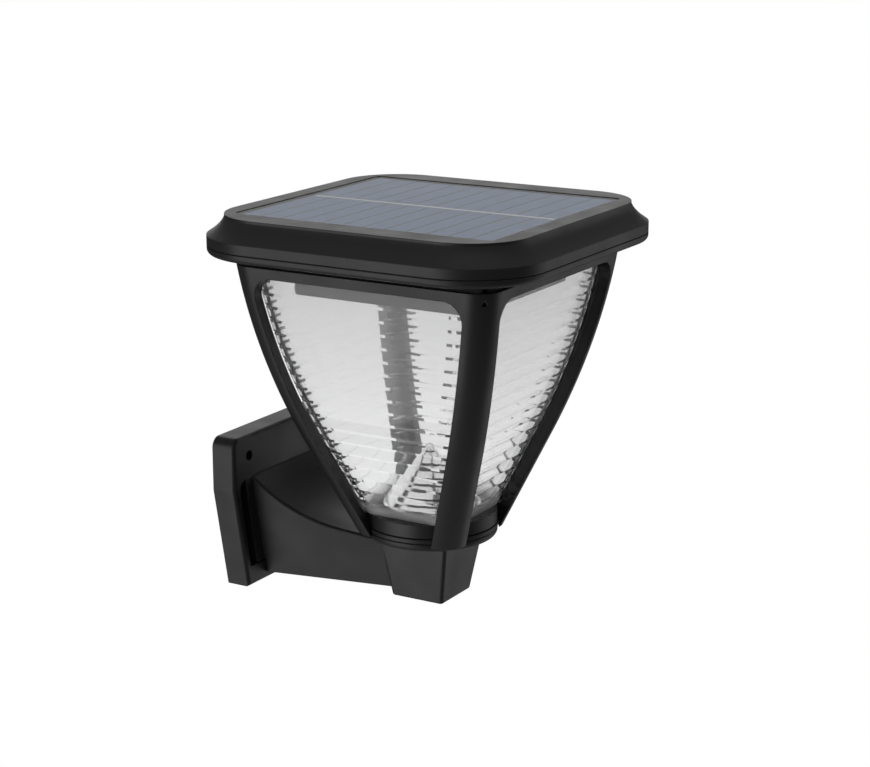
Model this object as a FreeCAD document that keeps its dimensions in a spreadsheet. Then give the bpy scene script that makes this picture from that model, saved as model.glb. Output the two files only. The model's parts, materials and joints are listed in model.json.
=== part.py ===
import FreeCAD, Part
import math
import os

import Sketcher
from FreeCAD import Placement, Rotation, Vector

# A solar fence light: a square lid over a four-post lantern on a short arm and a wall plate.
# The frame: +Z up, the wall is the plane Y = 0, the light stands out along -Y, and the origin
# is the centre of the wall plate's back. Lengths are millimetres.
# The lantern pieces are drawn about their own upright axis, which stands in front of the wall.

doc = FreeCAD.newDocument("fence_light")
sheet = doc.addObject("Spreadsheet::Sheet", "sizes")


# %% Sizes: a value now, and the expression on the sheet that gives it


class Size:
    """A length or a number with the expression that binds it to the sheet."""

    def __init__(self, value, text):
        self.value = value
        self.text = text

    def __add__(self, other):
        other = as_size(other)
        return Size(self.value + other.value, f"({self.text} + {other.text})")

    def __sub__(self, other):
        other = as_size(other)
        return Size(self.value - other.value, f"({self.text} - {other.text})")

    def __mul__(self, other):
        other = as_size(other)
        return Size(self.value * other.value, f"({self.text} * {other.text})")

    def __truediv__(self, other):
        other = as_size(other)
        return Size(self.value / other.value, f"({self.text} / {other.text})")

    def __neg__(self):
        return Size(-self.value, f"(0 - {self.text})")

    def root(self):
        return Size(math.sqrt(self.value), f"sqrt({self.text})")


def as_size(number):
    return number if isinstance(number, Size) else Size(float(number), f"{float(number):.6f}")


rows = []


def cell(name, value, meaning):
    """Write one driving dimension on the sheet and give it back as a Size."""
    row = len(rows) + 1
    sheet.set(f"A{row}", meaning)
    sheet.set(f"B{row}", str(value))
    sheet.setAlias(f"B{row}", name)
    rows.append(name)
    return Size(float(value), f"sizes.{name}")


# Where the lantern stands
axis_reach = cell("axis_reach", 80, "wall to the lantern's upright axis")
seam_height = cell("seam_height", 120, "plate centre to the seam between the lid's two halves")
snug = cell("snug", 0.1, "gap all round between a fixed piece and its seat")
loose = cell("loose", 0.3, "gap all round between pieces that drop into each other")

# Lid cover and the rim under it
lid_side = cell("lid_side", 150, "outer side of the square lid")
lid_corner = cell("lid_corner", 33, "corner radius of the lid in plan")
lid_wall = cell("lid_wall", 4.2, "upright band of the lid cover above the seam")
lid_rise = cell("lid_rise", 12.6, "seam to the flat top of the lid")
skirt_run = cell("skirt_run", 7.3, "how far the hollow skirt draws in from wall to top")
skirt_sag = cell("skirt_sag", 0.85, "depth of the hollow in the skirt")
skirt_lip = cell("skirt_lip", 1.0, "upright lip round the flat top")
shell = cell("shell", 2.4, "wall of the lid mouldings")
seam_gap = cell("seam_gap", 0.4, "thickness of the seal that shows at the seam")
seam_inset = cell("seam_inset", 0.7, "how far that seal lies back from the wall")
brow = cell("brow", 0.6, "top of the cover's wall above its hollow")
rim_drop = cell("rim_drop", 3.5, "seam to the lower edge of the rim")
rim_round = cell("rim_round", 2.2, "rounding under the rim")
soffit_drop = cell("soffit_drop", 6.2, "seam to the flat middle of the underside")
soffit_in = cell("soffit_in", 13, "lid's side to the edge of that flat middle")
floor_margin = cell("floor_margin", 3, "lid base's floor beyond the flat middle")
tray_top = cell("tray_top", 43, "half side of the hanging tray at the underside")
tray_foot = cell("tray_foot", 41, "half side of the tray at its floor")
tray_drop = cell("tray_drop", 20.8, "seam to the bottom of the tray")
tray_corner = cell("tray_corner", 5, "corner radius of the tray")
tray_wall = cell("tray_wall", 2, "wall of the tray")

# Solar panel
border_front = cell("border_front", 8, "flat border of the lid before and behind the panel")
border_side = cell("border_side", 12.5, "flat border of the lid beside the panel")
panel_corner = cell("panel_corner", 3, "corner radius of the panel glass")
panel_sunk = cell("panel_sunk", 0.2, "how far the glass lies under the lid's top")
glass_thick = cell("glass_thick", 2, "panel glass")
cell_thick = cell("cell_thick", 0.3, "one solar cell")
ribbon_thick = cell("ribbon_thick", 0.1, "the flat wire over the cells")
ribbon_wide = cell("ribbon_wide", 1.3, "width of that wire")
board_thick = cell("board_thick", 1.6, "circuit board and panel backing")
cell_side = cell("cell_side", 2.2, "glass beyond the cells, each side along X")
cell_end = cell("cell_end", 2.1, "glass beyond the cells, each end along Y")
cell_gap = cell("cell_gap", 0.3, "gap between two cells")
cell_count = cell("cell_count", 12, "cells in the panel")

# Cage
post_tip = cell("post_tip", -5.4, "height of the posts' lower ends")
cage_foot = cell("cage_foot", 25.1, "half side of the cage at the posts' lower ends")
cage_slope = cell("cage_slope", 0.386, "outward run per rise in the straight lower half")
cage_bend = cell("cage_bend", 35, "height where the straight side turns into the arc")
cage_arc = cell("cage_arc", 333, "radius of the arc in the upper half")
cage_corner = cell("cage_corner", 11, "corner radius of the cage in plan")
post_leg = cell("post_leg", 10.6, "width of a post on each face")
post_depth = cell("post_depth", 5.3, "depth of the posts and the rail")
rail_drop = cell("rail_drop", 7.6, "seam to the top of the rail")
window_drop = cell("window_drop", 11.9, "seam to the top of the windows")
window_corner = cell("window_corner", 8, "rounding of the windows' top corners")
ring_top = cell("ring_top", 4.1, "height of the ring's top, under the windows")
ring_low = cell("ring_low", -1.6, "height of the ring's underside")
ring_radius = cell("ring_radius", 28, "outside radius of the ring that joins the posts")
ring_bore = cell("ring_bore", 21, "inside radius of that ring")
cage_floor = cell("cage_floor", 2.4, "thickness of the floor inside the ring")
boss_radius = cell("boss_radius", 3.1, "screw boss")
boss_height = cell("boss_height", 5.2, "screw boss above the cage floor")

# Lens and reflector
lens_wall = cell("lens_wall", 1.8, "thinnest wall of the clear lens")
lens_corner = cell("lens_corner", 10, "corner radius of the lens in plan")
lens_steps = cell("lens_steps", 19, "prism steps down the lens")
lens_ledge = cell("lens_ledge", 0.9, "depth of one prism step")
seal_in = cell("seal_in", 2.1, "cage's side to the lens seal")
seal_lap = cell("seal_lap", 2, "lens seal inside the lens wall")
cone_tip = cell("cone_tip", 32, "height of the reflector's tip")
cone_edge = cell("cone_edge", 6.6, "height where the cone meets its skirt")
cone_radius = cell("cone_radius", 19.8, "outside radius of the reflector")
cone_wall = cell("cone_wall", 1.5, "wall of the reflector")
tip_radius = cell("tip_radius", 1, "flat at the reflector's tip")

# Neck and base block
neck_low = cell("neck_low", -4.2, "height of the neck ring's underside")
neck_radius = cell("neck_radius", 28.4, "outside radius of the neck ring")
neck_bore = cell("neck_bore", 20.5, "inside radius of the neck ring")
groove_deep = cell("groove_deep", 0.9, "depth of the grooves above and below it")
groove_high = cell("groove_high", 0.45, "height of one groove")
flange_low = cell("flange_low", -7.5, "height of the flange's underside")
flange_radius = cell("flange_radius", 28.2, "radius of the round flange on the block")
flange_round = cell("flange_round", 2.4, "rounding under the flange")
block_top = cell("block_top", 16.6, "half side of the block under the flange")
block_foot = cell("block_foot", 12.3, "half side of the block at its bottom")
block_low = cell("block_low", -34.5, "height of the block's bottom")
block_edge = cell("block_edge", 1.6, "rounding of the block's upright edges")
block_under = cell("block_under", 1.0, "rounding of the block's bottom edges")
block_wall = cell("block_wall", 2.5, "wall of the hollow block")
block_roof = cell("block_roof", 5.6, "roof of the hollow block")

# Arm and its foot
arm_low = cell("arm_low", -30.8, "height of the arm's underside")
arm_near = cell("arm_near", 11.6, "half width of the arm's underside at the block")
arm_far = cell("arm_far", 23.4, "half width of the arm's underside at the plate")
arm_draft_near = cell("arm_draft_near", 0.17, "side draft of the arm at the block")
arm_draft_far = cell("arm_draft_far", 0.21, "side draft of the arm at the plate")
arm_root = cell("arm_root", 15.4, "height of the arm's top at the plate")
arm_end = cell("arm_end", -8.9, "height of the arm's top at the block")
arm_bend = cell("arm_bend", 32, "axis to where the arm's top starts to curve up")
arm_bend_height = cell("arm_bend_height", -6.2, "height of the arm's top there")
arm_dip = cell("arm_dip", 57, "radius of the hollow curve of the arm's top")
arm_edge = cell("arm_edge", 1.1, "rounding of the arm's top edges")
arm_flare = cell("arm_flare", 3.2, "rounding where the arm meets its foot")
arm_core_half = cell("arm_core_half", 11, "half width of the hollow in the arm")
arm_core_deep = cell("arm_core_deep", 44, "depth of that hollow from the back of the foot")
arm_wall = cell("arm_wall", 2.8, "wall under and over that hollow")
slot_top = cell("slot_top", 4.7, "open slot beside the foot's top, in the pocket")
slot_low = cell("slot_low", 4.5, "open slot beside the foot's bottom, in the pocket")
foot_lift = cell("foot_lift", 0.7, "gap under the foot, in the pocket")

# Wall plate
plate_half = cell("plate_half", 46, "half width of the plate's upper part")
plate_foot = cell("plate_foot", 37, "half width of the plate at its bottom")
plate_top = cell("plate_top", 33.7, "height of the plate's top")
plate_kink = cell("plate_kink", 10.8, "height where the plate starts to narrow")
plate_low = cell("plate_low", -33.7, "height of the plate's bottom")
plate_thick = cell("plate_thick", 11, "thickness of the plate")
plate_corner = cell("plate_corner", 4.5, "radius of the plate's top corners")
plate_edge = cell("plate_edge", 1.7, "rounding of the plate's front edges")
plate_rim = cell("plate_rim", 3.4, "rim of the plate beside the pocket's top and over the pocket")
rim_foot = cell("rim_foot", 1.7, "plate's foot to the pocket's lower corners, each side")
pocket_down = cell("pocket_down", 19.1, "plate's top to the pocket's top edge")
pocket_up = cell("pocket_up", 8.8, "plate's bottom to the pocket's bottom edge")
pocket_corner = cell("pocket_corner", 3.6, "rounding of the pocket's top corners")
pocket_floor = cell("pocket_floor", 4, "plate left behind the pocket")
hole_in = cell("hole_in", 11, "plate's side to the wall screw hole")
hole_down = cell("hole_down", 9, "plate's top to the wall screw holes")
hole_radius = cell("hole_radius", 2.25, "radius of a wall screw hole")
hollow_in = cell("hollow_in", 8, "wall screw hole to the hollow in the plate's back")
hollow_deep = cell("hollow_deep", 7.5, "depth of that hollow")

# Screws: head radius, head height and shank radius of the two kinds
head_radius = cell("head_radius", 2.4, "head of a small screw")
head_high = cell("head_high", 1.7, "height of that head")
shank_radius = cell("shank_radius", 1.3, "shank of a small screw")
screw_bite = cell("screw_bite", 5, "thread of a screw in its boss")
neck_screw_at = cell("neck_screw_at", 6.2, "neck screws, each way from the axis")
lid_screw_in = cell("lid_screw_in", 14.2, "lid's sides to the middle of a lid screw")
seat_deep = cell("seat_deep", 0.6, "lid screw's seat above the rim's underside")
cage_screw_at = cell("cage_screw_at", 55.7, "cage screws, each way from the axis")
foot_screw_in = cell("foot_screw_in", 5.9, "foot's top corners to the upper foot screws, along X")
foot_screw_near = cell("foot_screw_near", 3.2, "foot's low corners to the lower foot screws, along X")
foot_screw_down = cell("foot_screw_down", 8.5, "foot's top to the upper foot screws")
foot_screw_up = cell("foot_screw_up", 7.2, "foot's bottom to the lower foot screws")

# Light source, battery and board inside the tray
window_radius = cell("window_radius", 15, "clear disc under the light source")
window_thick = cell("window_thick", 1, "thickness of that disc")
light_radius = cell("light_radius", 9.4, "opening in the tray floor")
light_board_half = cell("light_board_half", 10.6, "half side of the light source's board")
light_count = cell("light_count", 6, "light-emitting chips")
light_circle = cell("light_circle", 6, "radius of the ring of chips")
chip_side = cell("chip_side", 2.6, "side of a chip")
chip_high = cell("chip_high", 0.8, "height of a chip")
battery_radius = cell("battery_radius", 9, "round battery")
battery_long = cell("battery_long", 65, "length of the battery")
battery_back = cell("battery_back", 22, "battery behind the lantern axis")
holder_wall = cell("holder_wall", 1.6, "wall of the battery holder")
holder_high = cell("holder_high", 11, "height of the battery holder")
contact_thick = cell("contact_thick", 0.6, "battery contact plate")
control_long = cell("control_long", 52, "control board along X")
control_wide = cell("control_wide", 24, "control board along Y")
control_front = cell("control_front", 24, "control board before the lantern axis")
standoff = cell("standoff", 3, "control board above the tray floor")
coil_radius = cell("coil_radius", 3.5, "coil on the board")
coil_high = cell("coil_high", 4, "height of the coil")
coil_along = cell("coil_along", -10, "coil from the board's middle along X")
can_radius = cell("can_radius", 3, "capacitor on the board")
can_high = cell("can_high", 7, "height of the capacitor")
can_along = cell("can_along", 2, "capacitor from the board's middle along X")
chip_long = cell("chip_long", 5, "controller chip along X")
chip_wide = cell("chip_wide", 4, "controller chip along Y")
chip_thick = cell("chip_thick", 1.6, "height of the controller chip")
chip_along = cell("chip_along", 10.5, "chip from the board's middle along X")
plug_long = cell("plug_long", 7.5, "wire plug along X")
plug_side = cell("plug_side", 5, "height and depth of the wire plug")
plug_along = cell("plug_along", 16.75, "wire plug from the board's middle along X")
row_front = cell("row_front", 5, "coil before the board's middle")
row_chip = cell("row_chip", 4, "chip before the board's middle")
row_back = cell("row_back", 4, "capacitor behind the board's middle")
row_plug = cell("row_plug", 6.5, "wire plug behind the board's middle")

# Push switch under the rim
switch_in = cell("switch_in", 8, "lid's side to the middle of the push switch")
switch_side = cell("switch_side", 8, "side of the switch's body")
switch_high = cell("switch_high", 4.2, "height of the switch's body")
bush_radius = cell("bush_radius", 3.5, "threaded bush of the switch")
bush_bore = cell("bush_bore", 2.7, "bore of that bush")
bush_out = cell("bush_out", 1.9, "bush below the boss")
nut_flat = cell("nut_flat", 5, "half the width over the nut's flats")
nut_high = cell("nut_high", 1.2, "height of the nut")
button_radius = cell("button_radius", 2.45, "radius of the push button")
button_out = cell("button_out", 2.2, "button below the bush at rest")
button_in = cell("button_in", 7.2, "button inside the bush at rest")
button_travel = cell("button_travel", 1.5, "travel of the button")
switch_boss = cell("switch_boss", 4.6, "radius of the boss under the rim")
doc.recompute()

# Worked out from the sizes above
lid_half = lid_side / 2
flat_half = lid_half - skirt_run
soffit_half = lid_half - soffit_in
panel_long = (flat_half - border_front) * 2
panel_wide = (flat_half - border_side) * 2
cell_long = panel_wide - cell_side * 2
cell_pitch = (panel_long - cell_end * 2) / cell_count
lid_screw_at = lid_half - lid_screw_in
switch_out = lid_half - switch_in
lid_top = seam_height + lid_rise
cover_low = seam_height + seam_gap / 2
base_top = seam_height - seam_gap / 2
rim_low = seam_height - rim_drop
soffit = seam_height - soffit_drop
tray_bottom = seam_height - tray_drop
rail_top = seam_height - rail_drop
window_top = seam_height - window_drop
floor_top = ring_low + cage_floor
tray_floor = tray_bottom + tray_wall + snug * 2
inner_floor = soffit + shell
rim_floor = rim_low + shell
panel_floor = lid_top - panel_sunk - glass_thick - ribbon_thick - cell_thick - board_thick
roof_low = panel_floor - shell
front = axis_reach - plate_thick
pocket_top = plate_half - plate_rim
pocket_low = plate_foot - rim_foot
pocket_rise = plate_top - pocket_down
pocket_drop = plate_low + pocket_up
foot_top = pocket_top - slot_top
foot_low = pocket_low - slot_low
foot_height = pocket_rise - snug
foot_drop = pocket_drop + foot_lift
hole_half = plate_half - hole_in
hole_height = plate_top - hole_down
hollow_half = hole_half - hollow_in
hollow_low = pocket_rise + plate_rim


# %% Helpers


def bind(thing, path, size):
    """Tie one property of an object to the sheet."""
    thing.setExpression(path, as_size(size).text)


def body(name, on_axis=True):
    """A new body, on the lantern's axis or at the wall."""
    made = doc.addObject("PartDesign::Body", name)
    if on_axis:
        bind(made, "Placement.Base.y", -axis_reach)
    return made


def plane(made, role):
    return [part for part in made.Origin.OriginFeatures if part.Role == role][0]


def sketch_on(made, name, role, offset=0):
    """An empty sketch on one of the body's own planes, moved along that plane's normal."""
    sketch = made.newObject("Sketcher::SketchObject", name)
    sketch.AttachmentSupport = [(plane(made, role), "")]
    sketch.MapMode = "FlatFace"
    bind(sketch, "AttachmentOffset.Base.z", offset)
    return sketch


def hold(sketch, kind, geometry, end, size):
    """Hold one point of the sketch at a signed distance from the sketch's origin."""
    size = as_size(size)
    if abs(size.value) < 1e-9:
        axis = -2 if kind == "DistanceX" else -1
        sketch.addConstraint(Sketcher.Constraint("PointOnObject", geometry, end, axis))
        return
    if size.value > 0:
        number = sketch.addConstraint(
            Sketcher.Constraint(kind, -1, 1, geometry, end, size.value)
        )
        text = size.text
    else:
        number = sketch.addConstraint(
            Sketcher.Constraint(kind, geometry, end, -1, 1, -size.value)
        )
        text = f"0 - {size.text}"
    sketch.setExpression(f"Constraints[{number}]", text)


def draw(sketch, points, arcs=None):
    """Draw a closed outline. arcs gives the radius and the side of the sides that are round."""
    arcs = arcs or {}
    points = [(as_size(x), as_size(y)) for x, y in points]
    flat = [Vector(x.value, y.value, 0) for x, y in points]
    ends = []
    for i, start in enumerate(flat):
        stop = flat[(i + 1) % len(flat)]
        if i in arcs:
            radius, side = arcs[i]
            chord = stop.sub(start)
            across = Vector(-chord.y, chord.x, 0).normalize()
            rise = radius.value - math.sqrt(radius.value**2 - (chord.Length / 2) ** 2)
            middle = start.add(chord * 0.5).add(across * (side * rise))
            number = sketch.addGeometry(Part.Arc(start, middle, stop), False)
            forward = sketch.Geometry[number].StartPoint.distanceToPoint(start) < 1e-6
            ends.append((number, 1, 2) if forward else (number, 2, 1))
            mark = sketch.addConstraint(
                Sketcher.Constraint("Radius", number, radius.value)
            )
            sketch.setExpression(f"Constraints[{mark}]", radius.text)
        else:
            number = sketch.addGeometry(Part.LineSegment(start, stop), False)
            ends.append((number, 1, 2))
    for i, (number, first, last) in enumerate(ends):
        following = ends[(i + 1) % len(ends)]
        sketch.addConstraint(
            Sketcher.Constraint("Coincident", number, last, following[0], following[1])
        )
        hold(sketch, "DistanceX", number, first, points[i][0])
        hold(sketch, "DistanceY", number, first, points[i][1])
    return sketch


def polygon(made, name, role, points, offset=0, arcs=None):
    return draw(sketch_on(made, name, role, offset), points, arcs)


def circles(made, name, spots, radius, height=0, role="XY_Plane"):
    """One sketch with a circle of the same radius at each spot."""
    sketch = sketch_on(made, name, role, height)
    for x, y in spots:
        x = as_size(x)
        y = as_size(y)
        centre = Vector(x.value, y.value, 0)
        number = sketch.addGeometry(Part.Circle(centre, Vector(0, 0, 1), radius.value), False)
        mark = sketch.addConstraint(Sketcher.Constraint("Radius", number, radius.value))
        sketch.setExpression(f"Constraints[{mark}]", radius.text)
        hold(sketch, "DistanceX", number, 3, x)
        hold(sketch, "DistanceY", number, 3, y)
    return sketch


def add_rounded(sketch, half_x, half_y, corner):
    """A rectangle with round corners about the sketch's origin."""
    a, b, r = half_x.value, half_y.value, corner.value
    p, q = a - r, b - r
    sides = [
        (Vector(-p, -b, 0), Vector(p, -b, 0)),
        (Vector(a, -q, 0), Vector(a, q, 0)),
        (Vector(p, b, 0), Vector(-p, b, 0)),
        (Vector(-a, q, 0), Vector(-a, -q, 0)),
    ]
    centres = [Vector(p, -q, 0), Vector(p, q, 0), Vector(-p, q, 0), Vector(-p, -q, 0)]
    lines = [sketch.addGeometry(Part.LineSegment(start, stop), False) for start, stop in sides]
    turns = []
    for i, centre in enumerate(centres):
        circle = Part.Circle(centre, Vector(0, 0, 1), r)
        low = -math.pi / 2 + i * math.pi / 2
        turns.append(sketch.addGeometry(Part.ArcOfCircle(circle, low, low + math.pi / 2), False))
    for i in range(4):
        sketch.addConstraint(Sketcher.Constraint("Tangent", lines[i], 2, turns[i], 1))
        sketch.addConstraint(Sketcher.Constraint("Tangent", turns[i], 2, lines[(i + 1) % 4], 1))
    sketch.addConstraint(Sketcher.Constraint("Horizontal", lines[0]))
    sketch.addConstraint(Sketcher.Constraint("Vertical", lines[1]))
    for i in range(1, 4):
        sketch.addConstraint(Sketcher.Constraint("Equal", turns[0], turns[i]))
    mark = sketch.addConstraint(Sketcher.Constraint("Radius", turns[0], r))
    sketch.setExpression(f"Constraints[{mark}]", corner.text)
    hold(sketch, "DistanceY", lines[0], 1, -half_y)
    hold(sketch, "DistanceX", lines[1], 1, half_x)
    hold(sketch, "DistanceY", lines[2], 1, half_y)
    hold(sketch, "DistanceX", lines[3], 1, -half_x)
    return sketch


def rounded(made, name, half, corner, height, half_y=None):
    """A sketch of a rounded square, or rectangle, at a height."""
    half = as_size(half)
    half_y = half if half_y is None else as_size(half_y)
    return add_rounded(sketch_on(made, name, "XY_Plane", height), half, half_y, as_size(corner))


def pad(made, name, sketch, length, reverse=False, middle=False):
    feature = made.newObject("PartDesign::Pad", name)
    feature.Profile = sketch
    bind(feature, "Length", length)
    feature.Reversed = reverse
    feature.Midplane = middle
    doc.recompute()
    return feature


def pocket(made, name, sketch, length, reverse=False, middle=False):
    feature = made.newObject("PartDesign::Pocket", name)
    feature.Profile = sketch
    bind(feature, "Length", length)
    feature.Reversed = reverse
    feature.Midplane = middle
    before = made.Shape.Volume
    doc.recompute()
    if not made.Shape.Volume < before - 1e-6:
        raise RuntimeError(f"{name} cuts nothing")
    return feature


def loft(made, name, sketches):
    feature = made.newObject("PartDesign::AdditiveLoft", name)
    feature.Profile = sketches[0]
    feature.Sections = sketches[1:]
    feature.Ruled = len(sketches) == 2
    doc.recompute()
    return feature


def turn(made, name, sketch):
    """Turn a half section about the upright axis of its sketch."""
    feature = made.newObject("PartDesign::Revolution", name)
    feature.Profile = sketch
    feature.ReferenceAxis = (sketch, ["V_Axis"])
    feature.Angle = 360
    doc.recompute()
    return feature


def soften(made, name, wanted, radius):
    """Round the edges that the test picks out."""
    base = made.Tip
    names = [f"Edge{i}" for i, edge in enumerate(base.Shape.Edges, 1) if wanted(edge)]
    if not names:
        raise RuntimeError(f"{name} finds no edge")
    feature = made.newObject("PartDesign::Fillet", name)
    feature.Base = (base, names)
    bind(feature, "Radius", radius)
    doc.recompute()
    return feature


def cut(name, base, tool):
    made = doc.addObject("Part::Cut", name)
    made.Base = base
    made.Tool = tool
    doc.recompute()
    return made


def fuse(name, *shapes):
    made = doc.addObject("Part::MultiFuse", name)
    made.Shapes = list(shapes)
    doc.recompute()
    return made


def near(value, target, margin=0.01):
    return abs(value - target) < margin


def corners(at):
    """The four spots at equal distances from the axis."""
    at = as_size(at)
    return [(at, at), (-at, at), (-at, -at), (at, -at)]


def ends_of(edge):
    return edge.Vertexes[0].Point, edge.Vertexes[-1].Point


def upright(edge):
    first, last = ends_of(edge)
    return abs(first.z - last.z) > 1 and math.hypot(first.x - last.x, first.y - last.y) < 1e-3


def group(name, solids):
    """Several equal solids in one piece's node, placed in the part's own frame."""
    made = doc.addObject("Part::Feature", name)
    made.Shape = Part.makeCompound(solids)
    made.Placement = Placement(Vector(0, -axis_reach.value, 0), Rotation())
    return made


UP = Vector(0, 0, 1)
DOWN = Vector(0, 0, -1)
OUT = Vector(0, -1, 0)


def screw(foot, way, length):
    """A screw whose head lies against a seat at its foot; its shank runs the given way."""
    head = Part.makeCylinder(head_radius.value, head_high.value, foot, way * -1)
    shank = Part.makeCylinder(shank_radius.value, length, foot, way)
    return head.fuse(shank).removeSplitter()


# %% The flare: half the width of the cage at a height, straight below and an arc above


def flare(height):
    """Half the cage's width at a height, as a Size."""
    height = as_size(height)
    along = (cage_slope * cage_slope + 1).root()
    start = cage_foot + cage_slope * (cage_bend - post_tip)
    if height.value <= cage_bend.value:
        return cage_foot + cage_slope * (height - post_tip)
    centre_x = start - cage_arc / along
    centre_z = cage_bend + cage_arc * cage_slope / along
    drop = height - centre_z
    return centre_x + (cage_arc * cage_arc - drop * drop).root()


def flared_outline(low, high, inset):
    """The points of the flare's section between two heights, and which sides are round."""
    points = [
        (flare(low) - inset, low),
        (flare(cage_bend) - inset, cage_bend),
        (flare(high) - inset, high),
        (inset - flare(high), high),
        (inset - flare(cage_bend), cage_bend),
        (inset - flare(low), low),
    ]
    return points, {1: (cage_arc, -1), 3: (cage_arc, -1)}


def flared_form(name, low, high, inset, corner):
    """A rounded square form whose four sides follow the flare, set in by inset."""
    made = body(name)
    points, arcs = flared_outline(low, high, inset)
    span = lid_side * 2
    side = polygon(made, name + "_side", "XZ_Plane", points, 0, arcs)
    pad(made, name + "_pad", side, span, middle=True)
    face = polygon(made, name + "_face", "YZ_Plane", points, 0, arcs)
    far = lid_side
    draw(face, [(-far, low - far), (far, low - far), (far, high + far), (-far, high + far)])
    pocket(made, name + "_trim", face, span, middle=True)

    def mitre(edge):
        first, last = ends_of(edge)
        middle = edge.valueAt((edge.FirstParameter + edge.LastParameter) / 2)
        return abs(first.z - last.z) > 1 and near(abs(middle.x), abs(middle.y), 0.1)

    soften(made, name + "_corners", mitre, corner)
    return made


# %% Cage: four curved posts between a square rail and a round ring


def window_form(name, role, inset):
    """The prism that opens two facing windows: it follows the flare, one post in from each side."""
    made = body(name)
    points, arcs = flared_outline(post_tip - 1, window_top, inset)
    outline = polygon(made, name + "_outline", role, points, 0, arcs)
    pad(made, name + "_pad", outline, lid_side, middle=True)

    def top_edge(edge):
        first, last = ends_of(edge)
        return near(first.z, window_top.value) and near(last.z, window_top.value) and (
            first.sub(last).Length > lid_side.value - 1
        )

    soften(made, name + "_corners", top_edge, window_corner)
    return made


def make_cage():
    form = flared_form("cage_form", post_tip, rail_top, as_size(0), cage_corner)
    core = flared_form("cage_core", ring_top, rail_top + 1, post_depth, cage_corner - post_depth)
    frame = cut("cage_shell", form, core)
    frame = cut("cage_sides", frame, window_form("side_window", "YZ_Plane", post_leg))
    frame = cut("cage_front", frame, window_form("front_window", "XZ_Plane", post_leg))

    clear = body("neck_clearance")
    room = circles(clear, "neck_room", [(0, 0)], neck_radius + loose, post_tip - 1)
    pad(clear, "neck_room_pad", room, ring_low - post_tip + 1)
    frame = cut("cage_posts", frame, clear)

    ring = body("cage_ring")
    outline = circles(ring, "ring_outline", [(0, 0)], ring_radius, ring_low)
    pad(ring, "ring_pad", outline, ring_top - ring_low)
    well = circles(ring, "ring_well", [(0, 0)], ring_bore, ring_top)
    pocket(ring, "ring_open", well, ring_top - floor_top)
    bosses = circles(ring, "boss_circles", corners(neck_screw_at), boss_radius, floor_top)
    pad(ring, "boss_pad", bosses, boss_height)
    threads = circles(ring, "boss_holes", corners(neck_screw_at), shank_radius + snug, ring_low)
    pocket(ring, "boss_bores", threads, cage_floor + boss_height, reverse=True)

    whole = fuse("cage_whole", frame, ring)
    pilots = body("rail_pilots")
    spots = circles(
        pilots, "pilot_circles", corners(cage_screw_at), shank_radius + snug, rail_top
    )
    pad(pilots, "pilot_pad", spots, screw_bite + snug, reverse=True)
    return cut("cage", whole, pilots)


# %% Lens: a clear lantern glass with prism steps outside and a smooth wall inside


def square_wire(half, corner, height):
    """A rounded square as a wire, about the origin."""
    side = half - corner
    bow = corner / math.sqrt(2)
    edges = []
    for turn_by in range(4):
        spin = Rotation(Vector(0, 0, 1), 90 * turn_by)
        start = spin.multVec(Vector(half, -side, 0))
        stop = spin.multVec(Vector(half, side, 0))
        middle = spin.multVec(Vector(side + bow, side + bow, 0))
        finish = spin.multVec(Vector(side, half, 0))
        edges.append(Part.LineSegment(start, stop).toShape())
        edges.append(Part.Arc(stop, middle, finish).toShape())
    wire = Part.Wire(edges)
    wire.translate(Vector(0, 0, height))
    return wire


def make_lens():
    top = rail_top.value
    count = int(lens_steps.value)
    pitch = (top - ring_top.value) / count
    corner = lens_corner.value
    inset = post_depth.value + loose.value
    heights = [top - pitch * k for k in range(count + 1)]
    steps = []
    inside = []
    for high, low in zip(heights[:-1], heights[1:]):
        wide = flare(as_size(high)).value - inset - lens_ledge.value
        narrow = flare(as_size(low)).value - inset
        upper = square_wire(min(wide, narrow + cage_slope.value * pitch), corner, high)
        steps.append(Part.makeLoft([upper, square_wire(narrow, corner, low)], True, True))
    wall = lens_wall.value + lens_ledge.value
    for height in heights:
        half = flare(as_size(height)).value - inset - wall
        inside.append(square_wire(half, corner - wall, height))
    outer = steps[0].multiFuse(steps[1:])
    inner = Part.makeLoft(inside, True, True)
    made = doc.addObject("Part::Feature", "lens")
    made.Shape = outer.cut(inner)
    made.Placement = Placement(Vector(0, -axis_reach.value, 0), Rotation())
    return made


def make_reflector():
    made = body("reflector_cone")
    edge = cone_radius
    tip = cone_tip - cone_wall * 1.4
    section = [
        (edge, floor_top),
        (edge, cone_edge),
        (tip_radius, cone_tip),
        (0, cone_tip),
        (0, tip),
        (edge - cone_wall, cone_edge - 0.4),
        (edge - cone_wall, floor_top),
    ]
    turn(made, "cone_turn", polygon(made, "cone_section", "XZ_Plane", section))
    return made


def make_lens_seal():
    made = body("lens_seal")
    outside = rounded(made, "seal_outline", flare(rail_top) - seal_in, cage_corner / 2, rail_top)
    inner = flare(rail_top) - post_depth - lens_wall - seal_lap
    add_rounded(outside, inner, inner, cage_corner / 2)
    pad(made, "seal_pad", outside, soffit - rail_top)
    holes = circles(made, "seal_holes", corners(cage_screw_at), shank_radius + loose, soffit)
    pocket(made, "seal_bores", holes, soffit - rail_top)
    return made


# %% Lid: the lower moulding with its tray, the seal and the cover with the panel


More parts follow.
